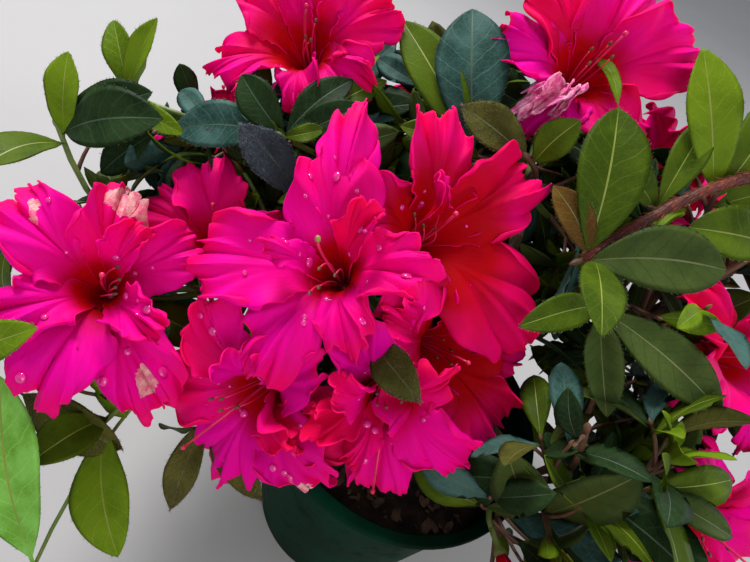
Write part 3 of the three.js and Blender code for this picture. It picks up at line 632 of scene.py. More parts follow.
def mix_finish():
    """Dark damp peat with pale grains in it."""
    finish = Finish("potting_mix", Specular_IOR_Level=0.2)
    cloud = finish.noise(120, 5)
    grain = finish.step(finish.noise(700, 3), 0.62, 0.72)
    colour = finish.blend((0.012, 0.008, 0.006), (0.05, 0.031, 0.02), finish.step(cloud, 0.35, 0.7))
    colour = finish.blend(colour, (0.2, 0.15, 0.1), grain * 0.6)
    return finish.fed(colour, 0.8 + cloud * 0.15, cloud + grain, 1.0, 0.0012)


def floor_finish():
    """Plain pale floor, hardly uneven."""
    finish = Finish("pale_floor", Roughness=0.85, Specular_IOR_Level=0.2)
    return finish.fed(finish.blend((0.36, 0.355, 0.345), (0.4, 0.395, 0.385), finish.noise(6, 3)))


# Each green of the leaves: where it is dull, where it is fresh, its veins, and its roughness
GREENS = {
    # dark: the leaf's own dark green and painted shade, dark leaves that fill the crown's gaps where deep
    # shade falls
    "dark": ((0.007, 0.018, 0.005), (0.016, 0.037, 0.01), (0.035, 0.07, 0.03), 0.5),
    # bluish: green with a painted bluish sheen, a reflection of the sky
    "bluish": ((0.015, 0.045, 0.036), (0.05, 0.115, 0.096), (0.09, 0.17, 0.14), 0.5),
    "netted": ((0.034, 0.056, 0.012), (0.056, 0.084, 0.018), (0.018, 0.03, 0.005), 0.5),
    "middle": ((0.036, 0.066, 0.004), (0.07, 0.115, 0.006), (0.1, 0.14, 0.01), 0.46),
    "lime": ((0.078, 0.14, 0.004), (0.135, 0.22, 0.008), (0.2, 0.28, 0.02), 0.48),
    "fresh": ((0.12, 0.3, 0.028), (0.2, 0.47, 0.08), (0.28, 0.55, 0.13), 0.48),
    "olive": ((0.045, 0.05, 0.009), (0.09, 0.09, 0.018), (0.03, 0.03, 0.008), 0.7),
    "russet": ((0.08, 0.04, 0.008), (0.13, 0.075, 0.012), (0.18, 0.11, 0.03), 0.55),
    "hairy": ((0.014, 0.02, 0.028), (0.045, 0.055, 0.07), (0.02, 0.025, 0.03), 0.9),
}
# Each plain finish: its material, its two tones, the scale of their noise, its roughness, its relief, and the
# relief's depth in metres where it is more than a little
PLAIN_TONES = {
    "rib_dark": ("rib_dark", (0.022, 0.05, 0.02), (0.045, 0.085, 0.04), 60, 0.5, 0.2),
    "rib_dull": ("rib_dull", (0.08, 0.1, 0.02), (0.12, 0.13, 0.035), 60, 0.5, 0.2),
    "rib_pale": ("rib_pale", (0.16, 0.2, 0.02), (0.24, 0.28, 0.035), 60, 0.5, 0.2),
    "faded": ("petal_faded", (0.8, 0.13, 0.24), (0.84, 0.46, 0.42), 420, 0.75, 0.9, 0.0008),
    "withered": ("petal_withered", (0.74, 0.05, 0.31), (0.94, 0.46, 0.6), 320, 0.75, 0.9, 0.0008),
    "hairy_stem": ("stem_ruddy", (0.05, 0.006, 0.003), (0.16, 0.022, 0.007), 150, 0.6, 0.8),
    "bristle": ("bristle_ruddy", (0.17, 0.028, 0.012), (0.32, 0.09, 0.035), 300, 0.6, 0.1),
    "twig": ("twig_ruddy", (0.09, 0.033, 0.018), (0.15, 0.078, 0.032), 120, 0.6, 0.6),
    "stalk": ("stalk_green", (0.12, 0.2, 0.03), (0.2, 0.26, 0.05), 90, 0.55, 0.4),
    "style": ("style_pink", (0.55, 0.004, 0.05), (0.75, 0.02, 0.12), 90, 0.4, 0.2),
    "anther": ("anther_brown", (0.07, 0.02, 0.012), (0.16, 0.07, 0.03), 500, 0.6, 0.5),
    "stigma": ("stigma_green", (0.2, 0.2, 0.03), (0.34, 0.26, 0.06), 300, 0.5, 0.4),
    "hair_pale": ("hair_pale", (0.09, 0.12, 0.05), (0.18, 0.22, 0.11), 300, 0.8, 0.1),
    "hair_slate": ("hair_slate", (0.07, 0.085, 0.1), (0.17, 0.2, 0.23), 300, 0.8, 0.1),
    "hair_tan": ("hair_tan", (0.12, 0.085, 0.04), (0.24, 0.18, 0.09), 300, 0.8, 0.1),
    "chip": ("bark_chip", (0.05, 0.028, 0.016), (0.16, 0.085, 0.045), 130, 0.8, 0.7, 0.0008),
}
FINISHES = {"petal": petal_finish(), "bead": bead_finish(), "bark": bark_finish(), "pot": pot_finish(),
            "mix": mix_finish()}
FINISHES.update({green: leaf_finish(green, *tones) for green, tones in GREENS.items()})
FINISHES.update({kind: plain_finish(*tones) for kind, tones in PLAIN_TONES.items()})
RIBS = {"middle": "rib_pale", "lime": "rib_pale", "fresh": "rib_pale", "netted": "rib_dull",
        "olive": "rib_dull", "russet": "rib_dull"}
HAIRS = {"hairy": "hair_slate", "olive": "hair_tan", "russet": "hair_tan"}
LEAF_KINDS = [*GREENS, "rib_dark", "rib_dull", "rib_pale", "hair_pale", "hair_slate", "hair_tan"]


# Handling of pieces

def select_only(*things):
    for other in list(bpy.context.selected_objects):
        other.select_set(False)
    for thing in things:
        thing.select_set(True)
    bpy.context.view_layer.objects.active = things[0] if things else None


def apply_modifier(piece, name, kind, **settings):
    modifier = piece.modifiers.new(name, kind)
    for setting, value in settings.items():
        setattr(modifier, setting, value)
    select_only(piece)
    bpy.ops.object.modifier_apply(modifier=modifier.name)


def joined(pieces, name):
    select_only(*pieces)
    if len(pieces) > 1:
        bpy.ops.object.join()
    pieces[0].name = name
    pieces[0].data.name = name
    return pieces[0]


def points_of(mesh):
    found = np.empty(len(mesh.vertices) * 3)
    mesh.vertices.foreach_get("co", found)
    return found.reshape(-1, 3)


def move_points(mesh, points):
    mesh.vertices.foreach_set("co", np.asarray(points, float).ravel())
    mesh.update()


def store_lie(mesh, lie):
    """Keeps, for each point, where it lies on its petal or leaf: across, along, and a tone dealt to it."""
    attribute = mesh.attributes.get("lie") or mesh.attributes.new("lie", "FLOAT_VECTOR", "POINT")
    attribute.data.foreach_set("vector", np.asarray(lie, float).ravel())


def finish_piece(piece, slot, *nodes, smooth_angle=None):
    """Settles a piece's place in its mesh, smooths it, and ties it to the frame."""
    select_only(piece)
    bpy.ops.object.transform_apply(location=True, rotation=True, scale=True)
    if smooth_angle is None:
        bpy.ops.object.shade_smooth()
    else:
        bpy.ops.object.shade_smooth_by_angle(angle=math.radians(smooth_angle))
    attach(piece, BODY)
    if nodes:
        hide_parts(*nodes)
    return piece


class Heap:
    """Many small shapes, gathered as arrays and made one mesh."""

    def __init__(self, finishes):
        self.finishes = finishes
        self.points = []
        self.faces = []
        self.kinds = []
        self.lies = []
        self.count = 0

    def add(self, points, faces, kinds, lies=None):
        """Adds a shape: the finish of each face, and where each point lies on its leaf, if it has one."""
        lies = np.zeros((len(points), 3)) if lies is None else lies
        self.points.append(np.asarray(points, float))
        self.faces.extend([tuple(int(corner) + self.count for corner in face) for face in faces])
        self.kinds.extend([self.finishes.index(kind) for kind in kinds])
        self.lies.append(np.asarray(lies, float))
        self.count += len(points)

    def add_plain(self, shape, kind):
        points, faces = shape
        self.add(points, faces, [kind] * len(faces))

    def piece(self, name):
        mesh = bpy.data.meshes.new(name)
        mesh.from_pydata((np.concatenate(self.points) * MM).tolist(), [], self.faces)
        for finish in self.finishes:
            mesh.materials.append(FINISHES[finish])
        mesh.polygons.foreach_set("material_index", self.kinds)
        store_lie(mesh, np.concatenate(self.lies))
        return placed(name, mesh)


def placed(name, data):
    """Puts new data into the scene as an object."""
    made = bpy.data.objects.new(name, data)
    bpy.context.scene.collection.objects.link(made)
    return made


def frames_along(centres):
    """Each centre along a limb, with two ways square to the limb there that twist as little as may be."""
    normal = Vector((1, 3, 1)).normalized()
    for behind, centre, ahead in zip([centres[0], *centres], centres, [*centres[1:], centres[-1]]):
        tangent = (ahead - behind).normalized()
        normal = (normal - tangent * normal.dot(tangent)).normalized()
        yield centre, normal, tangent.cross(normal)


def tube(centres, radii, sides):
    """The points and faces of a closed tube along its centres, with a radius for each."""
    points = []
    for (centre, normal, side), radius in zip(frames_along([Vector(c) for c in centres]), radii):
        for k in range(sides):
            a = CIRCLE * k / sides
            points.append(list(centre + (normal * math.cos(a) + side * math.sin(a)) * radius))
    faces = [tuple(range(sides))[::-1]]
    last = (len(centres) - 1) * sides
    for ring in range(0, last, sides):
        for k in range(sides):
            near, far = ring + k, ring + (k + 1) % sides
            faces.append((near, far, far + sides, near + sides))
    faces.append(tuple(range(last, last + sides)))
    return np.array(points), faces


def turned_profile(start, way, size, profile):
    """The centres and radii of a small turned shape, such as a bud or a bead, from its profile."""
    return [start + way * (far * size) for far, _ in profile], [wide * size for _, wide in profile]


def budded(centres, radii, sides):
    """A tube that ends in a small pointed bud."""
    heading = (centres[-1] - centres[-2]).normalized()
    swollen, girths = turned_profile(centres[-1], heading, radii[-1], BUD_PROFILE)
    return tube(centres + swollen, radii + girths, sides)


def tapering(radii, steps):
    return list(np.interp(np.linspace(0, len(radii) - 1, steps + 1), range(len(radii)), radii))


# The stage, the camera and the light

def build_stage():
    select_only()
    bpy.ops.mesh.primitive_plane_add(size=60)
    floor = bpy.context.object
    floor.name = "floor"
    floor.data.materials.append(floor_finish())


def build_camera():
    down = math.radians(CAMERA_LOOKS_DOWN)
    roll = math.radians(CAMERA_ROLL)
    forward = Vector((0, math.cos(down), -math.sin(down)))
    level = Vector((1, 0, 0))
    upright = level.cross(forward)
    right = level * math.cos(roll) + upright * math.sin(roll)
    up = upright * math.cos(roll) - level * math.sin(roll)
    data = bpy.data.cameras.new("photo_camera")
    data.sensor_width = SENSOR_WIDTH
    data.lens = FOCAL_PIXELS / PHOTO_WIDTH * SENSOR_WIDTH
    data.clip_start = 0.01
    camera = placed("photo_camera", data)
    turned = Matrix((right, up, -forward)).transposed().to_4x4()
    camera.matrix_world = Matrix.Translation(Vector(CAMERA_PLACE) * MM) @ turned
    bpy.context.scene.camera = camera


def area_light(name, place, target, size, power, colour):
    data = bpy.data.lights.new(name, "AREA")
    data.shape = "DISK"
    data.size = size
    data.energy = power
    data.color = colour
    light = placed(name, data)
    light.location = place
    light.rotation_euler = (Vector(target) - Vector(place)).to_track_quat("-Z", "Y").to_euler()


def build_light():
    middle = (-0.02, 0.0, 0.18)
    area_light("key", (-0.75, 0.55, 1.25), middle, 0.55, 27, (1.0, 0.98, 1.0))
    area_light("front_fill", (0.5, -1.1, 0.75), middle, 1.2, 9, (1.0, 0.96, 0.92))
    area_light("side_fill", (1.3, 0.5, 0.6), middle, 1.0, 6, (0.92, 0.95, 1.0))
    world = bpy.data.worlds.new("soft_studio")
    world.use_nodes = True
    background = world.node_tree.nodes["Background"]
    background.inputs["Color"].default_value = (0.86, 0.9, 1.0, 1)
    background.inputs["Strength"].default_value = 0.5
    bpy.context.scene.world = world
    bpy.context.scene.view_settings.view_transform = "Standard"


# The pot and its potting mix

def pot_radius(height):
    return mix(POT_FOOT_RADIUS, POT_RIM_RADIUS - RIM_LIP - COLLAR_STEP, height / POT_HEIGHT)


def start_disc(sides, radius, height):
    """A filled disc, open for editing, with all of it selected."""
    select_only()
    place = (0, 0, height * MM)
    bpy.ops.mesh.primitive_circle_add(vertices=sides, radius=radius * MM, fill_type="NGON", location=place)
    bpy.ops.object.mode_set(mode="EDIT")
    bpy.ops.mesh.select_all(action="SELECT")
    return bpy.context.object


def pull_through(profile):
    """Pulls a disc's open rim through a profile of radii and heights, and closes its end."""
    bpy.ops.mesh.select_mode(type="EDGE")
    bpy.ops.mesh.select_all(action="DESELECT")
    bpy.ops.mesh.select_non_manifold()
    for (radius, height), (wider, higher) in zip(profile, profile[1:]):
        bpy.ops.mesh.extrude_region_move(TRANSFORM_OT_translate={"value": (0, 0, (higher - height) * MM)})
        share = wider / radius
        bpy.ops.transform.resize(value=(share, share, 1), center_override=(0, 0, higher * MM))
    bpy.ops.mesh.edge_face_add()
    bpy.ops.mesh.select_all(action="SELECT")
    bpy.ops.mesh.normals_make_consistent(inside=False)
    bpy.ops.object.mode_set(mode="OBJECT")


def build_pot():
    """A round nursery pot: tapering wall, wider collar under a rolled rim, and drainage holes."""
    foot, rim = POT_FOOT_RADIUS, POT_RIM_RADIUS
    collar, under_rim = POT_HEIGHT - COLLAR_DROP, POT_HEIGHT - RIM_DROP
    neck = pot_radius(collar)
    top = pot_radius(POT_HEIGHT) + COLLAR_STEP
    inside = pot_radius(POT_FLOOR) - POT_WALL
    profile = [
        (foot - 6, 1.2), (foot - 4.5, 0), (foot - 0.8, 0), (foot, 0.8), (pot_radius(40), 40),
        (pot_radius(collar - 3), collar - 3), (neck, collar - COLLAR_STEP), (neck + COLLAR_STEP, collar),
        (top - 0.3, under_rim - 0.6), (top + 0.4, under_rim), (rim - 0.5, under_rim + 0.4),
        (rim, under_rim + 1), (rim, POT_HEIGHT - 1.1), (rim - 0.35, POT_HEIGHT - 0.35),
        (rim - 1.1, POT_HEIGHT),
        (top - POT_WALL + 0.8, POT_HEIGHT), (top - POT_WALL + 0.2, POT_HEIGHT - 0.4),
        (top - POT_WALL, POT_HEIGHT - 1.2), (neck + COLLAR_STEP - POT_WALL, collar + COLLAR_STEP),
        (neck - POT_WALL, collar), (inside, POT_FLOOR + 1), (inside - 1, POT_FLOOR),
    ]
    pot = start_disc(POT_SIDES, *profile[0])
    bpy.ops.mesh.flip_normals()
    pull_through(profile)
    drill_drain_holes(pot)
    pot.name = "pot_shell"
    pot.data.materials.append(FINISHES["pot"])
    finish_piece(pot, "pot", "pot", smooth_angle=32)


def drill_drain_holes(pot):
    drills = []
    for k in range(DRAIN_HOLES):
        a = CIRCLE * k / DRAIN_HOLES
        place = polar(DRAIN_RING_RADIUS * MM, a, 0)
        bpy.ops.mesh.primitive_cylinder_add(vertices=24, radius=DRAIN_RADIUS * MM, depth=4 * POT_FLOOR * MM,
                                            location=place)
        drills.append(bpy.context.object)
    drill = joined(drills, "drain_drill")
    apply_modifier(pot, "drain_holes", "BOOLEAN", operation="DIFFERENCE", object=drill, solver="EXACT")
    bpy.data.objects.remove(drill)


def build_potting_mix():
    """A plug of peat that fills the pot, lumpy on top."""
    level = SOIL_LEVEL - SOIL_SINK
    inside = pot_radius(level) + COLLAR_STEP - POT_WALL - SOIL_GAP
    neck = POT_HEIGHT - COLLAR_DROP - 2
    floor = POT_FLOOR + 0.6
    soil = start_disc(SOIL_SIDES, inside, level)
    for _ in range(SOIL_RINGS):
        bpy.ops.mesh.inset(thickness=inside / (SOIL_RINGS + 1) * MM)
    bpy.ops.mesh.poke()
    pull_through([(inside, level), (inside, neck + 4), (pot_radius(neck) - POT_WALL - SOIL_GAP, neck),
                  (pot_radius(POT_FLOOR) - POT_WALL - 2 * SOIL_GAP, floor)])
    points = points_of(soil.data) / MM
    x, y, height = points.T
    radius = np.hypot(x, y)
    lumps = (np.sin(x * 0.31 + 1.1 * np.sin(y * 0.23)) + np.sin(y * 0.37 + 1.3 * np.sin(x * 0.19 + 2))
             + 0.6 * np.sin(x * 0.9 + y * 0.7))
    free = smooth_step(10, 22, radius) * smooth_step(inside, inside - 6, radius)
    points[:, 2] += np.where(height > level - 0.01, (0.65 * lumps + 0.4) * free + 0.9, 0)
    move_points(soil.data, points * MM)
    soil.name = "potting_peat"
    soil.data.materials.append(FINISHES["mix"])
    finish_piece(soil, "potting_mix", "potting_mix")
    build_chips(inside)


def build_chips(inside):
    """Chips of composted bark strewn over the peat."""
    roll = dice(SEED + SEEDS["chip"])
    heap = Heap(["chip"])
    sides = CHIP_SIDES
    faces = [tuple(range(sides))[::-1], tuple(range(sides, 2 * sides))]
    faces += [(k, (k + 1) % sides, (k + 1) % sides + sides, k + sides) for k in range(sides)]
    for _ in range(CHIPS):
        far = inside * math.sqrt(between(CHIP_RING, roll()))
        turn = CIRCLE * roll()
        length = between(CHIP_LENGTHS, roll() ** 2)
        size = np.array([length, length * between(CHIP_WIDTHS, roll()), between(CHIP_HEIGHTS, roll())])
        ring = [CIRCLE * (k + 0.6 * roll()) / sides for k in range(sides)]
        low = [(math.cos(a), math.sin(a), -0.5) for a in ring]
        high = [(0.8 * math.cos(a + 0.1), 0.75 * math.sin(a), 0.5 - 0.35 * roll()) for a in ring]
        lean = Quaternion((math.cos(turn), math.sin(turn), 0), mix(-CHIP_LEAN, CHIP_LEAN, roll()))
        spun = Quaternion((0, 0, 1), CIRCLE * roll())
        place = polar(far, turn, SOIL_LEVEL + mix(0, 0.9, roll()))
        points = [list(lean @ spun @ Vector(np.array(p) * size / 2) + place) for p in low + high]
        heap.add_plain((points, faces), "chip")
    finish_piece(heap.piece("bark_chips"), "potting_mix", smooth_angle=40)


# The trunk and the boughs

def trunk_route():
    return [Vector((x, y, SOIL_LEVEL + CLEAR + z)) for x, y, z in TRUNK_ROUTE]


def trunk_at(height):
    return min(axis_of(trunk_route(), TRUNK_PLACES), key=lambda p: abs(p.z - SOIL_LEVEL - height))


def wooden_limb(name, route, radii, flare=0.0):
    """A limb bent from a cylinder along its route, with the ridges and knuckles of its bark pushed out."""
    select_only()
    bpy.ops.mesh.primitive_cylinder_add(vertices=WOOD_SIDES, radius=1, depth=1, location=(0, 0, 0.5))
    wood = bpy.context.object
    bpy.ops.object.transform_apply(location=True, rotation=True, scale=True)
    bpy.ops.object.mode_set(mode="EDIT")
    bpy.ops.mesh.select_mode(type="EDGE")
    bpy.ops.mesh.select_all(action="DESELECT")
    bpy.ops.object.mode_set(mode="OBJECT")
    for edge in wood.data.edges:
        low, high = (wood.data.vertices[v].co.z for v in edge.vertices)
        edge.select = abs(low - high) > 0.5
    bpy.ops.object.mode_set(mode="EDIT")
    bpy.ops.mesh.subdivide(number_cuts=WOOD_CUTS)
    bpy.ops.object.mode_set(mode="OBJECT")
    steps = WOOD_CUTS + 1
    points = points_of(wood.data)
    rings = np.round(points[:, 2] * steps).astype(int)
    angles = np.arctan2(points[:, 1], points[:, 0])
    frames = list(frames_along(axis_of(route, steps)))
    widths = tapering(radii, steps)
    for k, (ring, a) in enumerate(zip(rings, angles)):
        centre, normal, side = frames[ring]
        share = ring / steps
        ridges = math.sin(5 * a + 9 * share) + 0.6 * math.sin(9 * a - 16 * share + 1)
        knuckle = math.sin(31 * share + 2 * math.sin(a)) * math.sin(17 * share)
        root = flare * math.exp(-share * 14) * (1 + 0.5 * math.sin(4 * a + 1))
        width = widths[ring] + root + BARK_RELIEF * (0.5 * ridges + 0.7 * knuckle) * min(1, widths[ring] / 4)
        points[k] = centre + (normal * math.cos(a) + side * math.sin(a)) * width
    move_points(wood.data, points * MM)
    wood.name = name
    wood.data.materials.append(FINISHES["bark"])
    return wood


def build_wood():
    trunk = wooden_limb("trunk_bark", trunk_route(), TRUNK_RADII, TRUNK_FLARE)
    finish_piece(trunk, "bark", "trunk")
    for name, mass in MASSES.items():
        route = [trunk_at(mass["from"]), mass["bend"], mass["hub"]]
        finish_piece(wooden_limb("bark_" + name, route, BOUGH_RADII), "bark", "bough_" + name)


# The foliage, by the part's own rule

def solid_tree(*names):
    """A search tree over CAD nodes, in millimetres."""
    points = []
    faces = []
    for name in names:
        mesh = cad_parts[name].data
        start = len(points)
        points += [v.co / MM for v in mesh.vertices]
        faces += [tuple(corner + start for corner in face.vertices) for face in mesh.polygons]
    return BVHTree.FromPolygons(points, faces)


MASS_TREES = {name: solid_tree("foliage_" + name) for name in MASSES}
BLOOM_TREE = solid_tree(*[f"bloom_{k + 1:02d}" for k in range(len(BLOOMS))])
LIMB_TREE = solid_tree("trunk", "pot", *["bough_" + name for name in MASSES])


def stands_in(name, place, reach):
    """Whether the CAD mass has its surface within reach of a place."""
    return MASS_TREES[name].find_nearest(Vector(place), reach)[0] is not None


def within(p, box):
    return all(low < v < high for v, low, high in zip(p, *box))


def covers_bloom(p):
    for bloom in BLOOMS:
        away = p - Vector(bloom["at"])
        out = away.dot(facing(bloom))
        if OPEN_TO_VIEW["near"] < out < OPEN_TO_VIEW["far"]:
            if math.sqrt(max(0, away.length_squared - out * out)) < OPEN_TO_VIEW["share"] * bloom["span"]:
                return True
    return False


def crown_share(p):
    return math.hypot(*[(v - c) / r for v, c, r in zip(p, CROWN_CENTRE, CROWN_REACH)])


def keeps_to_space(p, name):
    if p.z < CROWN_FLOOR or crown_share(p) > CROWN_EDGE or within(p, FRONT_GAP) or covers_bloom(p):
        return False
    own = (Vector(MASSES[name]["hub"]) - p).length
    others = [mass["hub"] for other, mass in MASSES.items() if other != name]
    return all((Vector(hub) - p).length > HUB_SHARE * own for hub in others)


def dealt_side(heading, roll):
    """Any way square to a heading."""
    return Quaternion(heading, CIRCLE * roll()) @ heading.orthogonal().normalized()


def square_to(heading):
    """The level way square to a twig's heading."""
    return heading.cross(Vector((1, 0, 0) if abs(heading.z) > 0.9 else (0, 0, 1))).normalized()


def sprung(heading, side, spread, turn, sag):
    """The way of a leaf that spreads from its twig's heading and sags a little."""
    outward = Quaternion(heading, turn) @ side
    return (heading * math.cos(spread) + outward * math.sin(spread) - Vector((0, 0, sag))).normalized()


def whorl(route, back, seed):
    """The leaves round a twig's end, the last of them a distance back from its tip."""
    roll = dice(seed)
    axis = axis_of(route, TWIG_STEPS)
    heading = (Vector(route[-1]) - Vector(route[-2])).normalized()
    side = square_to(heading)
    leaves = []
    for k in range(LEAVES_PER_WHORL):
        length = LEAF_LENGTH * between(LEAF_LENGTHS, roll())
        spread = math.radians(between(WHORL_SPREAD, (k % 2 + roll()) / 2))
        turn = CIRCLE * (k + 0.3 * roll()) / LEAVES_PER_WHORL
        foot = back_from_tip(axis, back + WHORL_STEP * k)
        tip = foot + sprung(heading, side, spread, turn, LEAF_SAG) * length
        leaves.append({"foot": foot, "tip": tip, "width": LEAF_WIDTH * length / LEAF_LENGTH, "face": heading})
    return leaves


def spring_of(tip, growth):
    """Where a shoot springs from: the mass's stem, or a twig that passes nearer to the shoot's tip."""
    best = {"from": growth["start"], "heading": growth["stem"], "cost": (growth["start"] - tip).length}
    for shoot in growth["shoots"]:
        axis = shoot["axis"]
        for i in range(1, len(axis) - 1):
            heading = (axis[i + 1] - axis[i - 1]).normalized()
            cost = (axis[i] - tip).length + (axis[i] - growth["start"]).length * SPRING_COST
            if heading.dot((tip - axis[i]).normalized()) > 0.1 and cost < best["cost"]:
                best = {"from": axis[i], "heading": heading, "cost": cost}
    return best


def grow_shoot(growth, route, leaves, kind):
    """Adds a shoot where the CAD mass has its twig."""
    axis = axis_of(route, TWIG_STEPS)
    found = all(stands_in(growth["name"], axis[i], 2 * TWIG_RADII[0]) for i in (2, 3))
    if found:
        main = route[0] == growth["start"]
        growth["shoots"].append({"route": route, "axis": axis, "leaves": leaves, "main": main, "kind": kind})
    return found


def start_growth(name, index):
    hub, bend = Vector(MASSES[name]["hub"]), Vector(MASSES[name]["bend"])
    stem = (hub - bend).normalized()
    start = hub + stem * (CLEAR + STEM_LENGTH / 2)
    seed = SEED + SEEDS["mass"] * index
    return {"name": name, "seed": seed, "hub": hub, "stem": stem, "start": start, "shoots": []}


def grow_bloom_shoots(growth):
    for number, bloom in enumerate(BLOOMS):
        if bloom["mass"] != growth["name"]:
            continue
        tip = bloom_foot(bloom) - facing(bloom) * CLEAR
        start = spring_of(tip, growth)["from"]
        bend = min(BLOOM_STALK_BEND, (tip - start).length / 2)
        route = [start, tip - facing(bloom) * bend, tip]
        grow_shoot(growth, route, whorl(route, BLOOM_WHORL_BACK, growth["seed"] + number), "bloom")


def grow_placed_shoots(growth):
    for mass, tip, via, tips in PLACED_SHOOTS:
        if mass != growth["name"]:
            continue
        route = [growth["start"], Vector(via), Vector(tip)]
        axis = axis_of(route, TWIG_STEPS)
        leaves = []
        for k, (x, y, z, width, green) in enumerate(tips):
            foot = back_from_tip(axis, WHORL_BACK + WHORL_STEP * k)
            leaves.append({"foot": foot, "tip": Vector((x, y, z)), "width": width, "face": LEAF_FACE_BY_EYE,
                           "green": green})
        grow_shoot(growth, route, leaves, "placed")


def grow_seeded_shoots(growth):
    mass = MASSES[growth["name"]]
    fan = Vector(mass["fan"]).normalized()
    tips = []
    for k in range(SHOOT_TRIES):
        if len(tips) == mass["shoots"]:
            break
        seed = growth["seed"] + SEEDS["shoot"] + k
        roll = dice(seed)
        stray = Vector((roll() - 0.5, roll() - 0.5, roll() - 0.5)) * SHOOT_STRAY
        outward = (fan + stray).normalized() * CROWN_REACH
        tip = CROWN_CENTRE + outward * between(SHOOT_REACH, roll())
        if not keeps_to_space(tip, growth["name"]):
            continue
        if any((other - tip).length < SHOOT_SPACING for other in tips):
            continue
        spring = spring_of(tip, growth)
        start = spring["from"]
        bend = start.lerp(tip, 1 / 3) + spring["heading"] * ((start - tip).length / 4)
        route = [start, bend, tip]
        if grow_shoot(growth, route, whorl(route, WHORL_BACK, seed + SEEDS["whorl"]), "leafy"):
            tips.append(tip)


def settled_leaves(growth):
    """The rule's leaves that the CAD mass has, and those given one by one."""
    kept = []
    for shoot in growth["shoots"]:
        for leaf in shoot["leaves"]:
            grown = stands_in(growth["name"], leaf["tip"], 0.1)
            if "green" in leaf or (grown and not hides_shown(leaf)):
                kept.append(leaf)
    return kept


def shown_spots():
    """Spots on the listed leaves and petals that the photograph's camera has to see, with their radii."""
    spots = []
    for _, tip, _, tips in PLACED_SHOOTS:
        for x, y, z, width, _ in tips:
            spots += [(Vector(tip).lerp((x, y, z), share), width / 2) for share in SHOWN_SHARES]
    for number, petals in PETALS_BY_EYE.items():
        bloom = BLOOMS[number - 1]
        turned = Vector((0, 0, 1)).rotation_difference(facing(bloom))
        for turn, reach, *_ in petals:
            way = Quaternion((0, 0, 1), math.radians(bloom["spin"] + turn)) @ Vector((reach, 0, 6))
            spots += [(Vector(bloom["at"]) + turned @ (way * share), SHOWN_PETAL) for share in SHOWN_SHARES]
    return spots


def hides_shown(leaf):
    """Whether a leaf stands between the photograph's camera and a spot that it has to see."""
    eye = Vector(CAMERA_PLACE)
    for share in SHOWN_SHARES:
        place = leaf["foot"].lerp(leaf["tip"], share)
        away = (place - eye).length
        way = (place - eye) / away
        for spot, radius in SPOTS:
            far = (spot - eye).dot(way)
            aside = (spot - eye - way * far).length
            if far > away + SHOWN_MARGIN and aside < radius + leaf["width"] * SHOWN_HALF:
                return True
    return False


def has_room(leaf, name, middles):
    """Whether a finer leaf keeps to the crown, clear of blooms, limbs and the leaves before it."""
    middle = leaf_middle(leaf)
    if not (keeps_to_space(leaf["tip"], name) and keeps_to_space(middle, name)) or hides_shown(leaf):
        return False
    along = leaf["tip"] - leaf["foot"]
    across = along.cross(leaf["face"]).normalized() * leaf["width"] * 0.45
    lines = ((leaf["foot"], leaf["tip"]), (middle - across, middle + across), (middle, leaf["tip"]))
    for start, end in lines:
        way = end - start
        for tree in (BLOOM_TREE, LIMB_TREE):
            if tree.ray_cast(start, way.normalized(), way.length + 2)[0] is not None:
                return False
    return all((middle - other).length > LEAF_ROOM for other in middles)


def fine_whorl(foot, heading, count, lengths, spread, seed):
    """Smaller leaves round the end of a fine twig."""
    roll = dice(seed)
    side = square_to(heading)
    leaves = []
    for k in range(count):
        length = between(lengths, roll())
        angle = math.radians(between(spread, roll()))
        turn = CIRCLE * (k + 0.4 * roll()) / count
        start = foot - heading * (FINE_LEAF_STEP * k)
        tip = start + sprung(heading, side, angle, turn, LEAF_SAG / 2) * length
        leaves.append({"foot": start, "tip": tip, "width": length * FINE_LEAF_SHARE, "face": heading})
    return leaves


def grow_side_twigs(growth, route, seed, middles):
    """Side twigs of one shoot, each with the leaves that find room on it."""
    roll = dice(seed)
    for k, share in enumerate(FINE_TWIG_PLACES):
        place = on_curve(route, share)
        heading = heading_at(route, share)
        side = dealt_side(heading, roll)
        way = (heading * 0.7 + side + Vector((0, 0, 0.25))).normalized()
        length = between(FINE_TWIG_LENGTHS, roll())
        tip = place + way * length
        twig = {"foot": place, "tip": tip, "width": 2 * FINE_TWIG_RADII[0]}
        hits = BLOOM_TREE.ray_cast(place, way, length + 3)[0] is not None
        if hits or not keeps_to_space(tip, growth["name"]) or hides_shown(twig):
            continue
        kept = []
        spray_seed = seed + SEEDS["spray"] + k
        for leaf in fine_whorl(tip, way, FINE_LEAVES, FINE_LEAF_LENGTHS, WHORL_SPREAD, spray_seed):
            if has_room(leaf, growth["name"], middles):
                kept.append(leaf)
                middles.append(leaf_middle(leaf))
        if kept:
            growth["fine_twigs"].append([place, place.lerp(tip, 0.5) + heading * (length * 0.15), tip])
            growth["fine_leaves"] += kept


def grow_finer(growth, middles):
    """Carries a mass to finer twigs within its reach, and sets a tuft of young leaves on each leafy shoot."""
    growth["fine_twigs"] = []
    growth["fine_leaves"] = []
    for number, shoot in enumerate(growth["shoots"]):
        route = shoot["route"]
        seed = growth["seed"] + SEEDS["finer"] + SEEDS["finer_step"] * number
        grow_side_twigs(growth, route, seed, middles)
        if shoot["kind"] == "leafy":
            heading = (route[-1] - route[-2]).normalized()
            seed += SEEDS["tuft"]
            for leaf in fine_whorl(route[-1], heading, TUFT_LEAVES, TUFT_LENGTHS, TUFT_SPREAD, seed):
                if has_room(leaf, growth["name"], []):
                    growth["fine_leaves"].append({**leaf, "young": True})


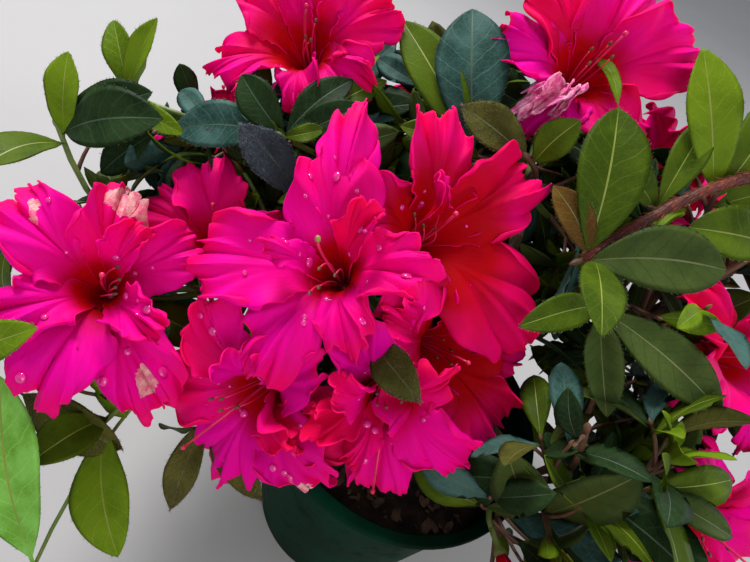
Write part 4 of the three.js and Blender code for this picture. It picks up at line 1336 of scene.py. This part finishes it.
def grow_all():
    growths = [start_growth(name, index) for index, name in enumerate(MASSES)]
    for growth in growths:
        grow_bloom_shoots(growth)
    for growth in growths:
        grow_placed_shoots(growth)
    for growth in growths:
        grow_seeded_shoots(growth)
        growth["leaves"] = settled_leaves(growth)
    middles = [leaf_middle(leaf) for growth in growths for leaf in growth["leaves"]]
    for growth in growths:
        grow_finer(growth, middles)
    return growths


def leaf_width_share(along):
    """The outline of a leaf: a short stalk, widest past its middle, drawn out to a point."""
    blade = np.clip((along - LEAF_STALK) / (1 - LEAF_STALK), 0, 1)
    round_part = LEAF_FULL * blade ** 0.85 * (1 - blade ** 1.8) ** 0.85
    return np.maximum(round_part, LEAF_STALK_SHARE * (1 - blade ** 4))


def add_leaf(heap, leaf, columns, rows, green, roll):
    """A thin closed leaf, folded along its midrib, arched and wavy, with the midrib its own strip."""
    foot, tip = leaf["foot"], leaf["tip"]
    along_way = (tip - foot).normalized()
    length = (tip - foot).length
    across_way = along_way.cross(leaf["face"]).normalized()
    up = across_way.cross(along_way).normalized()
    fold = LEAF_FOLD * between(LEAF_FOLD_STRAY, roll())
    curl = between(LEAF_CURL, roll())
    sway = between(LEAF_SWAY, roll())
    wave = between(LEAF_WAVE, roll())
    phase = CIRCLE * roll()
    tone = roll()
    steps = 1 - (1 - np.linspace(0, 1, rows + 1)) ** 1.25
    along, across = [grid.ravel() for grid in np.meshgrid(steps, np.array(columns), indexing="ij")]
    half = leaf["width"] / 2 * leaf_width_share(along)
    bow = np.sin(math.pi * along)
    height = LEAF_ARCH * length * bow - curl * length * along ** 3 + fold * np.abs(across) * half
    height += wave * np.abs(across) ** 3 * np.sin(along * 11 + phase + 1.6 * np.sign(across)) * bow
    height -= curl * length * 0.15 * np.abs(across) ** 2 * bow
    shift = sway * length * bow + across * half
    axes = [np.array(way) for way in (along_way, across_way, up)]
    top = np.array(foot) + np.outer(along * length, axes[0])
    top = top + np.outer(shift, axes[1]) + np.outer(height, axes[2])
    wide = len(columns)
    inner = np.array([i * wide + k for i in range(1, rows) for k in range(1, wide - 1)])
    bottom = top[inner] - LEAF_SHEET * axes[2]
    below = {int(index): len(top) + place for place, index in enumerate(inner)}
    faces = []
    kinds = []
    for i in range(rows):
        for k in range(wide - 1):
            quad = (i * wide + k, i * wide + k + 1, (i + 1) * wide + k + 1, (i + 1) * wide + k)
            kind = RIBS.get(green, "rib_dark") if k == (wide - 2) // 2 else green
            faces += [quad[::-1], tuple(below.get(corner, corner) for corner in quad)]
            kinds += [kind, kind]
    lies = np.stack([across, along, np.full(len(along), tone)], 1)
    heap.add(np.concatenate([top, bottom]), faces, kinds, np.concatenate([lies, lies[inner]]))
    return top.reshape(rows + 1, wide, 3), up


def add_leaf_hairs(heap, sheet, up, green, roll):
    """Short pale hairs that fringe a leaf's margin, and clothe the face of a hairy one."""
    rows, wide = len(sheet) - 1, len(sheet[0])
    for k in range(MARGIN_HAIRS + FACE_HAIRS.get(green, 0)):
        i = 1 + int(roll() * (rows - 1))
        j = int(roll() * (wide - 1))
        if k < MARGIN_HAIRS:
            j = 0 if j < wide // 2 else wide - 1
        ahead = Vector(sheet[min(i + 1, rows)][j] - sheet[i][j])
        aside = Vector(sheet[i][min(j + 1, wide - 1)] - sheet[i][max(j - 1, 0)])
        foot = Vector(sheet[i][j]) + ahead * roll()
        if k < MARGIN_HAIRS:
            outward = aside.normalized() * (-1 if j == 0 else 1)
            way = outward + ahead.normalized() * between(MARGIN_HAIR_LEANS, roll()) + up * 0.2
            length = between(MARGIN_HAIR_LENGTHS, roll())
        else:
            foot += aside * (roll() / 2)
            lean = ahead.normalized() + aside.normalized() * between(FACE_HAIR_TURNS, roll())
            way = lean + up * between(FACE_HAIR_RISES, roll())
            length = between(FACE_HAIR_LENGTHS, roll())
        tip = foot + way.normalized() * length
        heap.add_plain(tube([foot, tip], [HAIR_RADIUS, HAIR_RADIUS / 3], 3), HAIRS.get(green, "hair_pale"))


def dealt_green(leaf, roll):
    """The green of a leaf: its own where it was listed, fresh where it is young, else dealt out."""
    if "green" in leaf:
        return leaf["green"]
    share = roll()
    if leaf.get("young"):
        return "lime" if share < YOUNG_LIME else "middle"
    for green, part in GREEN_SHARES.items():
        if share < part:
            return green
        share -= part
    return "middle"


def carrying_shoots(growth):
    """The shoots that still carry something, each with the share of its route up to the last of it.

    What a shoot carries is a leaf, a bloom, a finer twig or another such shoot.
    """
    carrying = []
    for shoot in reversed(growth["shoots"]):
        feet = [other["route"][0] for other in carrying] + [route[0] for route in growth["fine_twigs"]]
        feet += [leaf["foot"] for leaf in growth["leaves"] + growth["fine_leaves"]]
        held = []
        for i, place in enumerate(axis_of(shoot["route"], CARRY_PLACES)):
            if i > 2 and any((foot - place).length < CARRY_REACH for foot in feet):
                held.append(i)
        if shoot["kind"] == "bloom":
            held = [CARRY_PLACES]
        if held:
            shoot["end"] = min(1, (held[-1] + 1) / CARRY_PLACES)
            carrying.append(shoot)
    return carrying


def add_bristles(heap, route, radii, roll):
    """Short stiff hairs that lean along a young stem."""
    for _ in range(BRISTLES):
        share = roll()
        heading = heading_at(route, share)
        out = dealt_side(heading, roll)
        girth = np.interp(share, np.linspace(0, 1, len(radii)), radii)
        foot = on_curve(route, share) + out * (girth - BRISTLE_RADIUS)
        way = (out + heading * between(BRISTLE_LEANS, roll())).normalized()
        tip = foot + way * between(BRISTLE_LENGTHS, roll())
        heap.add_plain(tube([foot, tip], [BRISTLE_RADIUS, BRISTLE_RADIUS / 4], 3), "bristle")


# The blooms

def petal_template(grid):
    """A flat grid, from which petals are bent."""
    select_only()
    bpy.ops.mesh.primitive_grid_add(x_subdivisions=grid[0], y_subdivisions=grid[1], size=2)
    return bpy.context.object


def build_leaves(growth, roll):
    name = growth["name"]
    hair_roll = dice(growth["seed"] + SEEDS["hair"])
    heap = Heap(LEAF_KINDS)
    leaves = growth["leaves"] + growth["fine_leaves"]
    for foot, tip, width, green in SCENE_LEAVES.get(name, []):
        leaves.append({"foot": Vector(foot), "tip": Vector(tip), "width": width, "face": LEAF_FACE_BY_EYE,
                       "green": green})
    for leaf in leaves:
        green = dealt_green(leaf, roll)
        if "green" in leaf:
            sheet, up = add_leaf(heap, leaf, FULL_LEAF_COLUMNS, FULL_LEAF_ROWS, green, roll)
            add_leaf_hairs(heap, sheet, up, green, hair_roll)
        else:
            add_leaf(heap, leaf, LEAF_COLUMNS, LEAF_ROWS, green, roll)
    finish_piece(heap.piece("leaves_" + name), "foliage", "foliage_" + name)


def build_twigs(growth, roll):
    name = growth["name"]
    heap = Heap(["twig", "stalk", "hairy_stem", "bristle"])
    stem = [growth["hub"] + growth["stem"] * (CLEAR + STEM_LENGTH * share) for share in (0, 0.5, 1)]
    limbs = [(tube(stem, [STEM_RADII[0], mix(*STEM_RADII, 0.5), STEM_RADII[1]], TWIG_SIDES), "twig")]
    for shoot in carrying_shoots(growth):
        share = 1 if shoot["main"] else SIDE_TWIG_SHARE
        if shoot["route"][-1] in SLIM_TIPS:
            share = SLIM_SHARE
        radii = tapering([r * share for r in TWIG_RADII], TWIG_RINGS)
        radii = [r * (1 + TWIG_RELIEF * math.sin(7.3 * i)) for i, r in enumerate(radii)]
        kind = "stalk" if shoot["kind"] == "bloom" or name in GREEN_MASSES else "twig"
        centres = [on_curve(shoot["route"], shoot["end"] * i / TWIG_RINGS) for i in range(TWIG_RINGS + 1)]
        shape = tube if shoot["kind"] == "bloom" else budded
        limbs.append((shape(centres, radii, TWIG_SIDES), kind))
    for route in growth["fine_twigs"]:
        limbs.append((budded(axis_of(route, 5), tapering(FINE_TWIG_RADII, 5), 5), "twig"))
    for mass, route, radii, kind in SCENE_TWIGS:
        if mass == name:
            rings = SCENE_TWIG_RINGS
            limbs.append((tube(axis_of(route, rings), tapering(radii, rings), SCENE_TWIG_SIDES), kind))
            if kind == "hairy_stem":
                add_bristles(heap, route, radii, roll)
    for shape, kind in limbs:
        heap.add_plain(shape, kind)
    finish_piece(heap.piece("twigs_" + name), "bark", "foliage_" + name)


def profile_at(along, controls):
    """Distance out and height along the smooth profile that a petal's control points steer."""
    row = [np.broadcast_to(np.array(c, float), (len(along), 2)) for c in controls]
    share = along[:, None]
    while len(row) > 1:
        row = [a * (1 - share) + b * share for a, b in zip(row, row[1:])]
    return row[0][:, 0], row[0][:, 1]


def petal_points(across, along, petal, roll):
    """Where a flat grid's points lie on a frilled petal of a bloom at the origin that faces +Z."""
    reach, rise, base = petal["reach"], petal["rise"], petal["lifted"]
    lean = mix(-2, 2, roll())
    aside = np.abs(across)
    around = np.arctan2(across, 1.05 * (along - 0.35)) / (math.pi / 2)
    lobe = smooth_step(0.3, 0.75, along)
    margin = 1 - (1 - along) * (1 - aside ** 3)
    uneven = 0.035 * np.sin(CIRCLE * (1.7 * around + roll()))
    uneven = uneven + 0.02 * np.sin(CIRCLE * (4.1 * around + roll()))
    reached = along * (1 + uneven * lobe - SHOULDER * aside ** 2.7 * smooth_step(0.2, 1, along))
    controls = [*PETAL_FUNNEL, (THROAT_RADIUS, -3 + base)]
    controls += [(share * reach, height + base + risen * rise) for share, height, risen in PETAL_PROFILE]
    out, height = profile_at(reached, controls)
    half_turn = np.radians(np.interp(along, *zip(*PETAL_ANGLES)))
    half_turn *= mix(1 if petal["outer"] else petal["wide"], petal["wide"], smooth_step(0.2, 0.6, along))
    waves = np.zeros(len(along))
    slide = np.zeros(len(along))
    push = np.zeros(len(along))
    for count, size, closeness in FRILLS:
        phase = CIRCLE * (count * around * mix(0.85, 1.15, roll()) + roll())
        size = size * mix(0.7, 1.25, roll()) * petal["frill"] * margin ** closeness * lobe
        waves += size * np.sin(phase)
        slide += FRILL_SLIDE * size * np.sin(2 * phase + 0.5)
        push += 0.3 * size * np.cos(phase)
    count, size, closeness = CRIMPS
    phase = CIRCLE * (count * around + petal["turn"] / 50 + 0.3 * np.sin(7 * around))
    size = size * petal["frill"] * margin ** closeness * lobe
    waves += size * np.sin(phase)
    push += CRIMP_PUSH * size * np.cos(phase) * (1 - aside ** 3)
    slide += CRIMP_PUSH * size * np.cos(phase) * across ** 3
    pleats = np.cos(3 * math.pi * across * mix(0.8, 1.15, roll()) + CIRCLE * roll())
    height = height + waves + PLEAT * pleats * lobe
    height -= CREASE * np.exp(-(across / CREASE_WIDTH) ** 2) * lobe * (1 - 0.6 * along)
    height += petal["fold"] * out * aside ** 1.6 * lobe
    height += (CUPPING * across * (0.25 + 0.75 * lobe)) + lean * across * lobe
    out = out + push + 0.45 * across * (1 - lobe)
    angle = math.radians(petal["turn"]) + across * half_turn + slide / np.maximum(out, 8)
    return np.stack([out * np.cos(angle), out * np.sin(angle), height], 1), reached


def petals_of(number, bloom, roll):
    """The petals of a bloom: those listed, or else a whorl and a few inner ones by the rule."""
    petals = [dict(zip(PETAL_MEASURES, row)) for row in PETALS_BY_EYE.get(number, [])]
    for petal in petals:
        petal["outer"] = petal["reach"] > INNER_REACH * bloom["span"] / 2
    if not petals:
        inner = round(mix(0.6, MOST_INNER, roll()))
        for k in range(LOBES + inner):
            outer = k < LOBES
            look = OUTER_PETALS if outer else INNER_PETALS
            turn = 360 * k / LOBES + mix(-TURN_STRAY, TURN_STRAY, roll()) + (0 if outer else 36 + 90 * roll())
            petal = {name: between(look[name], roll()) for name in PETAL_MEASURES[1:]}
            reach = petal["reach"] * bloom["span"] / 2
            petals.append({**petal, "turn": turn, "outer": outer, "reach": reach})
    for row in FADED_PETALS.get(number, []):
        petals.append({**dict(zip(PETAL_MEASURES, row)), "outer": False, "faded": True})
    for petal in petals:
        # How far the throat's deep red, which is painted shade, runs out on this bloom
        petal["deep"] = DEEP_REDS.get(number, 0)
        # The bloom's range of tones, from painted shade to a painted reflection of the sky
        petal["pinks"] = PINKS.get(number, (0, 1))
        petal["frill"] = mix(0.8, 1.2, roll()) * (1 if petal["outer"] else INNER_FRILL)
        if petal.get("faded"):
            petal["frill"] *= WITHERED_FRILL
        petal["lifted"] = between(PETAL_LIFTS[petal["outer"]], roll())
        petal["grid"] = "near" if number in PETALS_BY_EYE else "far"
    for order, *place in FADED_PLACES.get(number, []):
        petals[order].setdefault("places", []).append(place)
        petals[order]["grid"] = "patched"
    return petals


def faded_faces(mesh, across, along, petal):
    """For each face of a petal: 0 where it is fresh, 1 where it has faded, 2 where all of it has withered."""
    if petal.get("faded"):
        return [2] * len(mesh.polygons)
    kinds = []
    for face in mesh.polygons:
        a = sum(across[v] for v in face.vertices) / len(face.vertices)
        t = sum(along[v] for v in face.vertices) / len(face.vertices)
        ragged = 1 + 0.2 * math.sin(7 * a + 16 * t) + 0.08 * math.sin(19 * a - 23 * t)
        inside = any(math.hypot((a - a0) / wide, (t - t0) / long) < ragged
                     for a0, t0, wide, long in petal.get("places", []))
        kinds.append(int(inside))
    return kinds


def make_petal(template, petal, roll):
    mesh = template.data.copy()
    flat = points_of(mesh)
    across, along = flat[:, 0], (flat[:, 1] + 1) / 2
    along = 1 - (1 - along) ** 1.15
    points, reached = petal_points(across, along, petal, roll)
    move_points(mesh, points * MM)
    petal["sheet"] = points
    margin = 1 - (1 - along) * (1 - np.abs(across) ** 9)
    # The throat's painted shade reaches further out where the bloom's deep red share is larger; the rim keeps
    # the margin's place for its painted highlight
    shown = np.where(margin > RIM_FROM, margin, reached * (1 - DEEP_SHIFT * petal["deep"]))
    # Tone: painted shade when low, a painted reflection of the sky when high
    tone = between(petal["pinks"], roll())
    store_lie(mesh, np.stack([across, shown, np.full(len(along), tone)], 1))
    for finish in ("petal", "faded", "withered"):
        mesh.materials.append(FINISHES[finish])
    mesh.polygons.foreach_set("material_index", faded_faces(mesh, across, along, petal))
    return placed("petal", mesh)


def bloom_middle(number, roll):
    """The stalk, calyx, long curved pistil and stamens of a bloom, in its own frame."""
    heap = Heap(["stalk", "style", "anther", "stigma"])
    points, faces = tube([(0, 0, z) for z, _ in CALYX_PROFILE], [wide for _, wide in CALYX_PROFILE], 12)
    heap.add(points, faces, ["stalk"] * (len(faces) - 1) + ["style"])
    side = CIRCLE * roll()
    threads = [(0, between(PISTIL["rise"], roll()), PISTIL)]
    threads += [(CIRCLE * (k + roll()) / STAMENS, between(STAMEN["rise"], roll()), STAMEN)
                for k in range(STAMENS)]
    for turn, rise, form in threads:
        pistil = form is PISTIL
        spread = PISTIL["spread"] if pistil else between(STAMEN["spread"], roll())
        sweep = mix(4, 8, roll())
        bend = polar(spread, turn, 0)
        tip = bend + polar(1, side, 0) * sweep + Vector((0, 0, rise))
        if pistil and number in PISTILS:
            way, out, height = PISTILS[number]
            bend, tip = Vector((0, 0, height)), polar(out, math.radians(way), height)
        centres = axis_of([polar(0.8, turn, -22), bend, tip], THREAD_RINGS)
        heap.add_plain(tube(centres, [form["radius"]] * (THREAD_RINGS + 1), 6), "style")
        heading = (centres[-1] - centres[-2]).normalized()
        knob = [tip + heading * step for step, _ in KNOB_PROFILE]
        kind = ("stigma" if number == 1 else "style") if pistil else "anther"
        heap.add_plain(tube(knob, [wide * form["girth"] for _, wide in KNOB_PROFILE], 8), kind)
    return heap.piece("bloom_middle")


def add_beads(heap, petals, place, count, roll):
    """Beads of water on the upper side of a bloom's petals."""
    turned = place.to_3x3()
    for _ in range(count):
        petal = petals[int(roll() * len(petals))]
        sheet, grid = petal["sheet"], PETAL_GRIDS[petal["grid"]]
        columns = grid[0] + 1
        row = int(between(BEAD_ROWS, roll()) * grid[1])
        index = row * columns + int(between(BEAD_COLUMNS, roll()) * columns)
        spot = Vector(sheet[index])
        across = Vector(sheet[index + 1] - sheet[index - 1])
        up = across.cross(Vector(sheet[index + columns] - sheet[index - columns])).normalized()
        up = up * (1 if up.z > 0 else -1)
        radius = between(BEAD_RADII, roll() ** 1.6)
        up = (turned @ up).normalized()
        foot = place @ (spot * MM) / MM + up * (PETAL_THICKNESS / 2 - 0.1)
        heap.add_plain(tube(*turned_profile(foot, up, radius, BEAD_PROFILE), 12), "bead")


def build_blooms():
    templates = {detail: petal_template(grid) for detail, grid in PETAL_GRIDS.items()}
    beads = Heap(["bead"])
    for number, bloom in enumerate(BLOOMS, start=1):
        roll = dice(SEED + SEEDS["bloom"] + SEEDS["bloom_step"] * number)
        petals = petals_of(number, bloom, roll)
        corolla = joined([make_petal(templates[petal["grid"]], petal, roll) for petal in petals], "corolla")
        apply_modifier(corolla, "petal_body", "SOLIDIFY", thickness=PETAL_THICKNESS * MM, offset=0)
        piece = joined([corolla, bloom_middle(number, roll)], f"flower_{number:02d}")
        spun = Quaternion((0, 0, 1), math.radians(bloom["spin"]))
        turned = Vector((0, 0, 1)).rotation_difference(facing(bloom))
        place = Matrix.Translation(Vector(bloom["at"]) * MM) @ (turned @ spun).to_matrix().to_4x4()
        piece.data.transform(place)
        finish_piece(piece, "petals", f"bloom_{number:02d}")
        if number in BEADS:
            add_beads(beads, petals, place, BEADS[number], roll)
    finish_piece(beads.piece("water_beads"), "petals")
    for template in templates.values():
        bpy.data.objects.remove(template)


SPOTS = shown_spots()
build_camera()
build_light()
build_stage()
build_pot()
build_potting_mix()
build_wood()
growths = grow_all()
for growth in growths:
    roll = dice(growth["seed"] + SEEDS["leaf"])
    build_leaves(growth, roll)
    build_twigs(growth, roll)
build_blooms()
